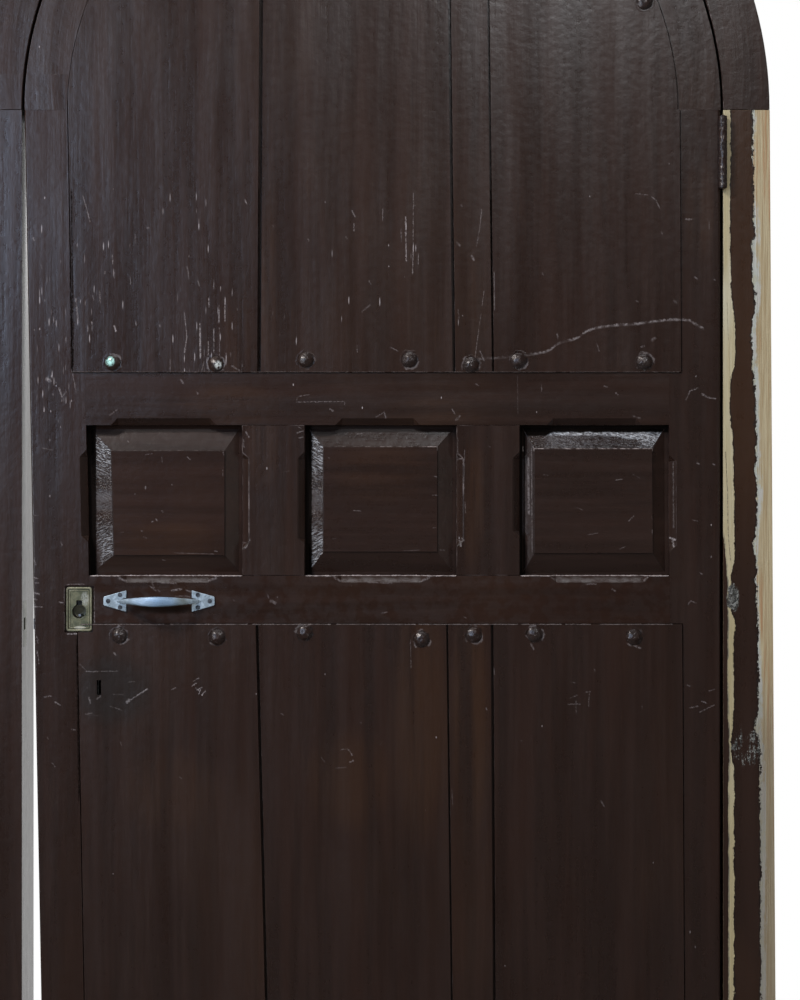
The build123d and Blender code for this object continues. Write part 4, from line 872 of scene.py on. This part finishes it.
def jamb_material():
    """Brown paint between two strips of bare wood, the outer with traces of grey primer; painted shadow at the
    brown's edges.
    """
    shader = Shader("paint_hinge_jamb")
    color, roughness, height = paint_layers(shader, "hinge_jamb", "Z", 5.0, 0.5)
    color = shader.mix(shader.rows(*JAMB_WARMS, 0.1, 0.6), color, WARM_BROWN)
    grain = shader.noise(shader.scaled((1, 1, 0.025)), 330.0, 4.0, 0.65)
    knots = shader.noise(shader.scaled((1, 1, 0.12)), 30.0, 3.0, 0.5)
    specks = shader.noise(shader.place, 300.0, 5.0, 0.75)
    coarse = shader.noise(shader.scaled((1, 1, 0.5)), 110.0, 5.0, 0.75)
    fray = coarse * 0.013 + specks * 0.005 - 0.009
    face = shader.y.ramp(FACE + 0.004, FACE + 0.001)

    def edge(points, ragged):
        bottom, top = (photo_z(row) for row in EDGE_ROWS)
        line = [(photo_z(y), photo_x(x)) for y, x in points]
        line = [(bottom, line[-1][1]), *line, (top, line[0][1])]
        return fray * ragged + shader.curve(shader.z, bottom, top, line, *(photo_x(x) for x in EDGE_COLUMNS))

    def right_of(line):
        return (shader.x - line).ramp(-0.0003, 0.0003)

    left_line, right_line, outer_line = edge(CREAM_LEFT, 0.25), edge(CREAM_RIGHT, 0.7), edge(OUTER_LEFT, 1.3)
    past_cream = right_of(right_line)
    # Painted shadow along the brown paint's edges beside the bare strips
    beside = past_cream * (shader.x - right_line).ramp(0.0026, 0.0006)
    before = (outer_line - shader.x).ramp(0.003, 0.0008)
    color = shader.mix(beside.stronger(before) * 0.8, color, PAINT_EDGE_SHADOW)
    cream = right_of(left_line) * (1.0 - past_cream) * face
    wood = shader.mix(grain.ramp(0.38, 0.66), CREAM_WOOD, CREAM_GRAIN)
    wood = shader.mix(knots.ramp(0.5, 0.7), wood, CREAM_PALE)
    wood = shader.mix(shader.rows(*CREAM_YELLOWS, 0.0, 0.6), wood, CREAM_YELLOW)
    rim = (shader.x - left_line).ramp(0.0026, 0.0008) * coarse.ramp(0.34, 0.6, 0.2, 0.9)
    wood = shader.mix(rim, wood, CREAM_RIM)
    wood = shader.mix(strokes(shader, JAMB_CRACKS, 0.5), wood, WOOD_CRACK)
    wood = shader.mix(grain.ramp(0.7, 0.78), wood, DARK_GRAIN)
    color = shader.mix(cream, color, wood)

    outer = right_of(outer_line) * face
    wood = shader.mix(grain.ramp(0.36, 0.62), OUTER_WOOD, TAN_WOOD)
    wood = shader.mix((grain + knots).ramp(1.08, 1.3), wood, RED_KNOT)
    wander = knots * 0.045 + grain * 0.02 + specks * 0.01 + (shader.x - outer_line)
    primer = wander.ramp(0.0462, 0.0408) * coarse.ramp(0.36, 0.52, 0.45, 1.0)
    tint = shader.mix(coarse.ramp(0.4, 0.6), GREY_PRIMER, PALE_PRIMER)
    wood = shader.mix(primer * 0.85, wood, tint)
    # The outer strip grows darker towards the bottom
    wood = shader.mix(shader.rows(*OUTER_DARKENS) * 0.6, wood, DARKER_OUTER_WOOD)
    color = shader.mix(outer, color, wood)

    bare = cream.stronger(outer)
    knot = shader.spot(*SPOTS["jamb_knot"]) * face * coarse.ramp(0.3, 0.56, 0.25, 1.0)
    worn = (coarse + grain * 0.6).ramp(0.72, 0.95)
    damage = shader.spot(*SPOTS["jamb_damage"]) * worn * face
    hurt = knot.stronger(damage * 0.8)
    broken = shader.mix(specks.ramp(0.46, 0.6), BROKEN_DARK, BROKEN_PALE)
    color = shader.mix((specks * 0.8 + hurt).ramp(0.72, 0.95), color, broken)
    height = height + bare * -1.6 + grain * bare * 0.9 + hurt * -0.6 + hurt * specks * 1.2
    return shader.finish(color, bare * 0.35 + roughness, height, PAINT_RELIEF)


def plain_wood(name, first, second):
    shader = Shader(name)
    grain = shader.noise(shader.scaled((0.05, 1, 1)), 200.0, 4.0, 0.6)
    return shader.finish(shader.mix(grain.ramp(0.35, 0.7), first, second), 0.7, grain, 0.0005)


dress("hinge_jamb", jamb_material(), JAMB_ARRIS, arris=bare_lit_arris)
dress("frame_crown_key", plain_wood("bare_wood", CREAM_WOOD, TAN_WOOD), 0.001)


def metal(name, first, second, scale, rough, metallic):
    """Metal in two tones with a mottled finish."""
    shader = Shader(name)
    mottle = shader.noise(shader.place, scale, 5.0, 0.62)
    fine = shader.noise(shader.place, scale * 5, 3.0, 0.6)
    color = shader.mix(mottle.ramp(0.38, 0.64), first, second)
    roughness = mottle * 0.25 + fine * 0.12 + rough
    return shader.finish(color, roughness, mottle * 0.6 + fine * 0.4, 0.0003, metallic)


def iron_material():
    """Painted iron with hammered facets. One stud shows a turquoise patch, the next a painted highlight."""
    shader = Shader("iron")
    mottle = shader.noise(shader.place, 70.0, 5.0, 0.62)
    fine = shader.noise(shader.place, 300.0, 3.0, 0.6)
    facets = shader.add("ShaderNodeTexVoronoi", {"Vector": shader.place, "Scale": 120.0, "Smoothness": 0.3},
                        feature="SMOOTH_F1")
    color = shader.mix(mottle.ramp(0.38, 0.64), IRON, RED_BROWN)
    color = shader.mix(fine.ramp(0.62, 0.72), color, IRON_SPECK)
    patch = shader.spot(*SPOTS["turquoise_stud"]) * fine.ramp(0.35, 0.5) * shader.front()
    color = shader.mix(patch, color, TURQUOISE)
    # Painted highlight on the second stud
    highlight_mask = shader.spot(*SPOTS["highlighted_stud"]) * fine.ramp(0.4, 0.55) * shader.front()
    color = shader.mix(highlight_mask, color, IRON_HIGHLIGHT)
    height = mottle * 0.4 + fine * 0.25 + Value(shader, facets.outputs["Distance"]) * 1.3
    return shader.finish(color, mottle * 0.25 + fine * 0.12 + 0.1, height, 0.0011, 0.2)


def brass_material(name, bright, dull):
    """Old brass, dark along its left side, with a painted highlight at the upper right and a painted bright bar
    low down.
    """
    shader = Shader(name)
    mottle = shader.noise(shader.place, 90.0, 5.0, 0.65)
    fine = shader.noise(shader.place, 500.0, 3.0, 0.6)
    color = shader.mix(mottle.ramp(0.36, 0.62), bright, dull)
    color = shader.mix(fine.ramp(0.6, 0.75), color, BRASS_SPECK)
    # Painted highlights: a silvery one at the upper right and a bright bar low down
    color = shader.mix(shader.spot(*SPOTS["plate_highlight"]) * fine.ramp(0.3, 0.6) * 0.6, color, BRASS_HIGHLIGHT)
    color = shader.mix(shader.spot(*SPOTS["plate_bar_highlight"]) * 0.8, color, BRASS_BAR_HIGHLIGHT)
    color = shader.mix(shader.columns(*PLATE_DARKENS, 0.0, 0.6), color, BRASS_DARK)
    return shader.finish(color, mottle * 0.25 + fine * 0.12 + 0.2, mottle * 0.6 + fine * 0.4, 0.0004, 0.35)


def aluminium_material():
    """Satin cast aluminium with a painted sky-blue reflection and a painted highlight on the grip, painted
    shade on its underside, and tarnish at its right end.
    """
    shader = Shader("aluminium")
    mottle = shader.noise(shader.place, 110.0, 5.0, 0.65)
    fine = shader.noise(shader.place, 600.0, 3.0, 0.6)
    color = shader.mix(mottle.ramp(0.36, 0.6), ALUMINIUM, ALUMINIUM_DULL)
    grip = shader.y.ramp(FACE - 0.012, FACE - 0.024)
    # Painted reflection and highlight on the grip, then painted shade on its underside
    color = shader.mix(shader.spot(*SPOTS["grip_reflection"]) * grip * 0.85, color, GRIP_SKY_REFLECTION)
    color = shader.mix(shader.spot(*SPOTS["grip_highlight"]) * grip * 0.6, color, GRIP_HIGHLIGHT)
    color = shader.mix(shader.columns(*GRIP_TARNISHES) * grip * 0.75, color, GRIP_TARNISH)
    color = shader.mix(fine.ramp(0.60, 0.74), color, ALUMINIUM_SPECK)
    color = shader.mix(shader.facing_z.ramp(-0.25, -0.85, 0.0, 0.85) * grip, color, GRIP_UNDERSIDE_SHADE)
    return shader.finish(color, mottle * 0.25 + fine * 0.12 + 0.24, mottle * 0.7 + fine * 0.3, 0.0005, 0.3)


brass = brass_material("brass", BRASS, BRASS_GREEN)
brass_rim = brass_material("brass_rim", BRASS_RIM, BRASS)
aluminium = aluminium_material()
METALS = {"iron": iron_material(), "brass": brass, "aluminium": aluminium,
          "lock_steel": metal("lock_steel", STEEL, STEEL_DULL, 80.0, 0.25, 0.5),
          "screw_steel": metal("screw_steel", SCREW, SCREW_WORN, 150.0, 0.25, 0.4)}
EASED_PLATES = ("lock_plate", "lock_forend", "strike_plate")
for part in frame["record"]["subparts"]:
    if part["material_slot"] in METALS:
        dress(part["node"], METALS[part["material_slot"]], PLATE_ARRIS if part["node"] in EASED_PLATES else 0)
# The lock case is pale so its inside shows olive through the keyhole: painted light where little light reaches
dress("lock_case", metal("case_steel", CASE_PAINTED_LIGHT, CASE_PAINTED_LIGHT_DULL, 80.0, 0.3, 0.0))


def rounded_outline(low, high, radius, steps=5):
    """Rectangle with round corners, from its low and high corners in X and Z."""
    points = []
    corners = ((high[0], high[1]), (low[0], high[1]), (low[0], low[1]), (high[0], low[1]))
    for quarter, (x, z) in enumerate(corners):
        centre_x = x - radius if quarter in (0, 3) else x + radius
        centre_z = z - radius if quarter in (0, 1) else z + radius
        for step in range(steps + 1):
            angle = math.radians(90 * (quarter + step / steps))
            points.append((centre_x + radius * math.cos(angle), centre_z + radius * math.sin(angle)))
    return points


def keyhole_outline(centre, radius, slot_width, slot_top, steps=28):
    """Round hole with a slot above it."""
    half = slot_width / 2
    start = math.acos(-half / radius)
    points = [(centre[0] + half, centre[1] + slot_top), (centre[0] - half, centre[1] + slot_top)]
    for step in range(steps + 1):
        angle = start + (2 * math.pi + math.pi - 2 * start) * step / steps
        points.append((centre[0] + radius * math.cos(angle), centre[1] + radius * math.sin(angle)))
    return points


def flat_piece(name, outlines, front, back, ease, material):
    """Plate with eased arrises between two depths: the first outline with the others as holes."""
    curve = bpy.data.curves.new(name, "CURVE")
    curve.dimensions = "2D"
    curve.fill_mode = "BOTH"
    for outline in outlines:
        line = curve.splines.new("POLY")
        line.points.add(len(outline) - 1)
        line.use_cyclic_u = True
        for point, (x, z) in zip(line.points, outline):
            point.co = (x, z, 0, 1)
    curve.extrude = (back - front) / 2 - ease
    curve.bevel_depth = ease
    curve.bevel_resolution = 2
    curve.offset = -ease
    piece = bpy.data.objects.new(name, curve)
    bpy.context.scene.collection.objects.link(piece)
    piece.location = (0, (front + back) / 2, 0)
    piece.rotation_euler = (math.radians(90), 0, 0)
    bpy.ops.object.select_all(action="DESELECT")
    piece.select_set(True)
    bpy.context.view_layer.objects.active = piece
    bpy.ops.object.convert(target="MESH")
    bpy.ops.object.transform_apply(location=True, rotation=True, scale=True)
    piece = bpy.context.object
    piece.data.materials.clear()
    piece.data.materials.append(material)
    for polygon in piece.data.polygons:
        polygon.use_smooth = True
    piece.modifiers.new("normals", "WEIGHTED_NORMAL").weight = 80
    return piece


def joined(name, pieces):
    """One piece made of several."""
    bpy.ops.object.select_all(action="DESELECT")
    for piece in pieces:
        piece.select_set(True)
    bpy.context.view_layer.objects.active = pieces[0]
    bpy.ops.object.join()
    pieces[0].name = name
    return pieces[0]


def tube_faces(sections, corners):
    """Faces of a closed tube: bands between its sections, and its two ends."""
    faces = []
    for row in range(0, (sections - 1) * corners, corners):
        for corner in range(corners):
            after = (corner + 1) % corners
            faces.append((row + corner, row + after, row + corners + after, row + corners + corner))
    faces.append(tuple(range(corners)))
    faces.append(tuple(reversed(range((sections - 1) * corners, sections * corners))))
    return faces


def smooth_piece(name, verts, faces, material):
    mesh = bpy.data.meshes.new(name)
    mesh.from_pydata(verts, [], faces)
    mesh.update()
    for polygon in mesh.polygons:
        polygon.use_smooth = True
    mesh.materials.append(material)
    piece = bpy.data.objects.new(name, mesh)
    bpy.context.scene.collection.objects.link(piece)
    return piece


def make_grip(middle, height, seat, half_span, rise, material):
    """Bowed grip: ellipses along an arc, thickest in the middle, with a slightly uneven cast surface."""
    sections, corners = 49, 28
    verts = []
    for index in range(sections):
        share = 2 * index / (sections - 1) - 1
        swell = math.cos(math.radians(90 * share)) ** 1.15 if abs(share) < 1 else 0
        half_height = 0.0021 + 0.0050 * swell
        half_depth = 0.0022 + 0.0013 * swell
        x = middle + half_span * share
        y = seat - rise * (1 - share * share)
        slope = math.atan2(2 * rise * share, half_span)
        for corner in range(corners):
            angle = 2 * math.pi * corner / corners
            wave = 0.0003 * math.sin(7 * share + 2 * angle) + 0.0002 * math.sin(17 * share - angle)
            out = half_depth * math.cos(angle) + wave
            verts.append((x + out * math.sin(slope), y - out * math.cos(slope),
                          height + half_height * math.sin(angle)))
    return smooth_piece("grip", verts, tube_faces(sections, corners), material)


def make_handle():
    """Cast pull handle: two arrow-shaped plates with a boss where the bowed grip springs from each."""
    plate_length, plate_depth, plate_ease = 0.032, 0.0026, 0.0008
    tip_half, shoulder_half, wing_half, neck_half, boss_half = 0.0045, 0.0065, 0.015, 0.0042, 0.0028
    shoulder_back, boss_reach = 0.0015, 0.006
    grip_inset, grip_sunk, grip_half_depth = 0.0205, 0.0012, 0.0036
    low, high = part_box("pull_handle")
    middle, height = (low.x + high.x) / 2, (low.z + high.z) / 2
    seat = FACE - plate_depth
    pieces = []
    for side in (-1, 1):
        tip = middle + side * (high.x - low.x) / 2
        base = tip - side * plate_length
        shoulder = tip - side * shoulder_back
        boss = base + side * boss_reach
        upper = [(tip, tip_half), (shoulder, shoulder_half), (base, wing_half), (base, neck_half),
                 (boss, boss_half)]
        outline = [(tip, -tip_half), *upper, *((x, -z) for x, z in reversed(upper[1:]))]
        outline = [(x, height + z) for x, z in outline]
        pieces.append(flat_piece(f"plate_{side}", [outline], seat, FACE, plate_ease, aluminium))
    half_span = (high.x - low.x) / 2 - grip_inset
    rise = seat - low.y - grip_half_depth
    pieces.append(make_grip(middle, height, seat + grip_sunk, half_span, rise, aluminium))
    handle = joined("pull_handle_casting", pieces)
    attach(handle, "leaf")
    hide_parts("pull_handle")


def make_lock_plate():
    """Sunk plate with a rounded rim, a groove inside it and a dished field with the keyhole."""
    low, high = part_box("lock_plate")
    field_depth, bead_depth = 0.0019, 0.0009
    keyhole_drop, keyhole_radius, slot_width, slot_top = 0.0033, 0.0098, 0.008, 0.0154
    centre = ((low.x + high.x) / 2, (low.z + high.z) / 2 - keyhole_drop)

    def inset(amount, radius):
        return rounded_outline((low.x + amount, low.z + amount), (high.x - amount, high.z - amount), radius)

    def ring(name, outlines, depth, ease):
        return flat_piece(name, outlines, low.y + depth, high.y, ease, brass_rim)

    keyhole = keyhole_outline(centre, keyhole_radius, slot_width, slot_top)
    field = flat_piece("field", [inset(0.0002, 0.003), keyhole], low.y + field_depth, high.y, 0.0003, brass)
    rim = ring("rim", [inset(0, 0.004), inset(0.0028, 0.002)], 0, 0.0008)
    bead = ring("bead", [inset(0.0042, 0.002), inset(0.0054, 0.0012)], bead_depth, 0.0003)
    plate = joined("lock_plate_casting", [field, rim, bead])
    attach(plate, "leaf")
    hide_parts("lock_plate")


def lit_ridge_material(name, least, most):
    """Thick paint with a painted highlight on its crests."""
    shader = Shader(name)
    bumps = shader.noise(shader.place, 170.0, 4.0, 0.7)
    return shader.finish(shader.mix(bumps.ramp(0.34, 0.66, least, most), RED_BROWN, RIDGE_HIGHLIGHT), 0.45, bumps, 0.0004)


def bead_verts(path, radius, corners, step=0.0013):
    """Vertices of an uneven bead along a path of places."""
    verts = []
    for start, end in zip(path, path[1:]):
        pieces = max(1, round((end - start).length / step))
        for index in range(pieces + (end is path[-1])):
            centre = start.lerp(end, index / pieces)
            size = radius * random.uniform(0.55, 1.25)
            lift = radius * random.uniform(-0.25, 0.25)
            for corner in range(corners):
                angle = 2 * math.pi * corner / corners
                verts.append(centre + Vector((0, -size * math.cos(angle), lift + size * math.sin(angle))))
    return verts


def make_beads(name, paths, radius, material):
    """One piece of several beads."""
    corners = 6
    verts, faces = [], []
    for path in paths:
        bead = bead_verts(path, radius, corners)
        tube = tube_faces(len(bead) // corners, corners)
        faces += [tuple(corner + len(verts) for corner in face) for face in tube]
        verts += bead
    beads = smooth_piece(name, verts, faces, material)
    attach(beads, "leaf")


def sill_paths():
    """Paths along the three sills, set back where the sill is chamfered."""
    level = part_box("lower_mid_rail")[1].z - 0.0002
    depths = (0, 0, CHAMFER, CHAMFER, 0, 0)
    return [[Vector((photo_x(x), FACE + depth, level)) for x, depth in zip(sill, depths)] for sill in SILLS]


def board_paths(row, top):
    """Short runs along the boards' ends, with gaps between them."""
    sunk, front, start_gap, end_gap, shortest = 0.0003, 0.0002, 0.004, 0.003, 0.02
    paths = []
    for place in (1, 2, 3, 4):
        low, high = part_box(f"{row}_board_{place}")
        level = high.z - sunk if top else low.z + sunk
        x = low.x + start_gap
        while x < high.x - shortest:
            end = min(x + random.uniform(0.03, 0.12), high.x - end_gap)
            paths.append([Vector((x, low.y + front, level)), Vector((end, low.y + front, level))])
            x = end + random.uniform(0.002, 0.012)
    return paths


def make_all_beads():
    """Thick paint along the sills and the boards' ends at the two middle rails; its painted highlight is
    brightest on the sills, dim on the lower boards and faint under the upper boards.
    """
    bright = lit_ridge_material("thick_paint", 0.35, 1.0)
    dim = lit_ridge_material("thick_paint_dim", 0.04, 0.36)
    faint = lit_ridge_material("thick_paint_faint", 0.0, 0.16)
    make_beads("sill_paint_ridges", sill_paths(), 0.0010, bright)
    make_beads("lower_paint_ridges", board_paths("lower", True), 0.00075, dim)
    make_beads("upper_paint_ridges", board_paths("upper", False), 0.0005, faint)


def plug_old_keyhole():
    """Filler at the back of the earlier lock's keyhole, black as painted shade so the hole reads dark."""
    middle_depth, depth, wider, taller = -0.016, 0.017, 0.004, 0.006
    hole = next(space for space in frame["record"]["physics"]["openings"] if space["name"] == "old_keyhole")
    low, high = (Vector(corner) for corner in hole["box_m"])
    bpy.ops.mesh.primitive_cube_add(size=1, location=((low.x + high.x) / 2, middle_depth, (low.z + high.z) / 2))
    plug = bpy.context.object
    plug.name = "old_keyhole_filler"
    plug.scale = (high.x - low.x + wider, depth, high.z - low.z + taller)
    bpy.ops.object.transform_apply(location=False, rotation=False, scale=True)
    shader = Shader("keyhole_shade")
    dust = shader.noise(shader.place, 300.0)
    plug.data.materials.append(shader.finish(shader.mix(dust, HOLE_SHADE, DIM_HOLE_SHADE), 0.9, dust, 0.0003))
    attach(plug, "leaf")


make_handle()
make_lock_plate()
make_all_beads()
plug_old_keyhole()

# Floor, world, lamps and camera
FLOOR_RADIUS = 7.0
FLOOR_COLOR = (0.78, 0.78, 0.77)
WHITE = (1, 1, 1)
AMBIENT = 0.27
CAMERA_DISTANCE = 3.0
SENSOR_WIDTH = 36
# Each lamp's place, what it shines at, its two sizes, its watts and its colour
LAMPS = {
    "key": ((-1.75, -1.75, 3.25), (0, 0, 1.15), (0.6, 0.6), 84, (1.0, 0.97, 0.94)),
    "sheen": ((-1.85, -3.15, 2.0), (-0.3, 0, 1.3), (1.2, 1.1), 35, (0.54, 0.71, 1.0)),
    "left": ((-2.05, -2.15, 1.2), (-0.22, 0, 1.15), (0.3, 0.7), 15, (0.86, 0.92, 1.0)),
    "top": ((0.53, -2.5, 2.93), (0.31, 0, 1.25), (0.45, 0.35), 20, (0.95, 0.97, 1.0)),
    "overhead": ((0.05, -0.20, 3.15), (0.05, -0.18, 1.0), (1.7, 0.4), 9, (0.96, 0.97, 1.0)),
    "fill": ((2.0, -2.3, 1.2), (0, 0, 1.15), (0.8, 1.2), 1.8, (1.0, 0.98, 0.96)),
    "back": ((1.5, 3.0, 2.6), (0, 0, 1.2), (1.6, 1.6), 90, WHITE),
}


def make_floor():
    """Pale round floor that fades to white away from the door."""
    bpy.ops.mesh.primitive_circle_add(vertices=96, radius=FLOOR_RADIUS, fill_type="NGON")
    floor = bpy.context.object
    floor.name = "floor"
    shader = Shader("floor")
    shader.feed(shader.surface.inputs["Base Color"], FLOOR_COLOR)
    shader.feed(shader.surface.inputs["Roughness"], 0.9)
    rays = shader.rays()
    direct = rays["Camera"].stronger(rays["Transmission"])
    share = (shader.radius(shader.x, shader.y).ramp(0.9, 1.9) * direct).stronger(rays["Glossy"])
    level = shader.y.ramp(-0.2, 1.2, 0.06, 1.0).stronger(direct)
    white = shader.add("ShaderNodeEmission", {"Color": WHITE, "Strength": level})
    mixed = shader.add("ShaderNodeMixShader", {0: share, 1: shader.surface.outputs[0], 2: white.outputs[0]})
    shader.feed(shader.tree.nodes["Material Output"].inputs["Surface"], mixed.outputs[0])
    floor.data.materials.append(shader.material)


def make_world():
    """White to the camera. Glossy surfaces see it too, dimmer on the viewer's side."""
    world = bpy.data.worlds.new("studio")
    bpy.context.scene.world = world
    world.use_nodes = True
    world.node_tree.nodes.clear()
    sky = Nodes(world.node_tree)
    rays = sky.rays()
    behind = sky.split(sky.add("ShaderNodeTexCoord").outputs["Generated"])[1]
    glossy = rays["Glossy"] * behind.ramp(-0.3, 0.6, 0.04, 1.0)
    seen = rays["Camera"].stronger(rays["Transmission"]).stronger(glossy)
    strength = seen.stronger(rays["Diffuse"] * AMBIENT)
    background = sky.add("ShaderNodeBackground", {"Color": WHITE, "Strength": strength})
    sky.add("ShaderNodeOutputWorld", {"Surface": background.outputs[0]})


def make_lamp(name, place, target, size, power, color):
    data = bpy.data.lights.new(name, "AREA")
    data.shape = "RECTANGLE"
    data.size, data.size_y = size
    data.energy = power
    data.color = color
    lamp = bpy.data.objects.new(name, data)
    lamp.location = place
    lamp.rotation_euler = (Vector(target) - Vector(place)).to_track_quat("-Z", "Y").to_euler()
    bpy.context.scene.collection.objects.link(lamp)


def make_camera():
    """At the photograph's level view, whose picture is 1.12 by 1.40 m at the leaf's face."""
    data = bpy.data.cameras.new("camera")
    data.sensor_width = SENSOR_WIDTH
    data.lens = SENSOR_WIDTH * CAMERA_DISTANCE / (PHOTO_HEIGHT * PIXEL)
    camera = bpy.data.objects.new("camera", data)
    camera.location = (photo_x(PHOTO_MIDDLE[0]), FACE - CAMERA_DISTANCE, photo_z(PHOTO_MIDDLE[1]))
    camera.rotation_euler = (math.radians(90), 0, 0)
    bpy.context.scene.collection.objects.link(camera)
    bpy.context.scene.camera = camera


make_floor()
make_world()
for name, settings in LAMPS.items():
    make_lamp(name, *settings)
make_camera()
bpy.context.scene.view_settings.view_transform = "Standard"
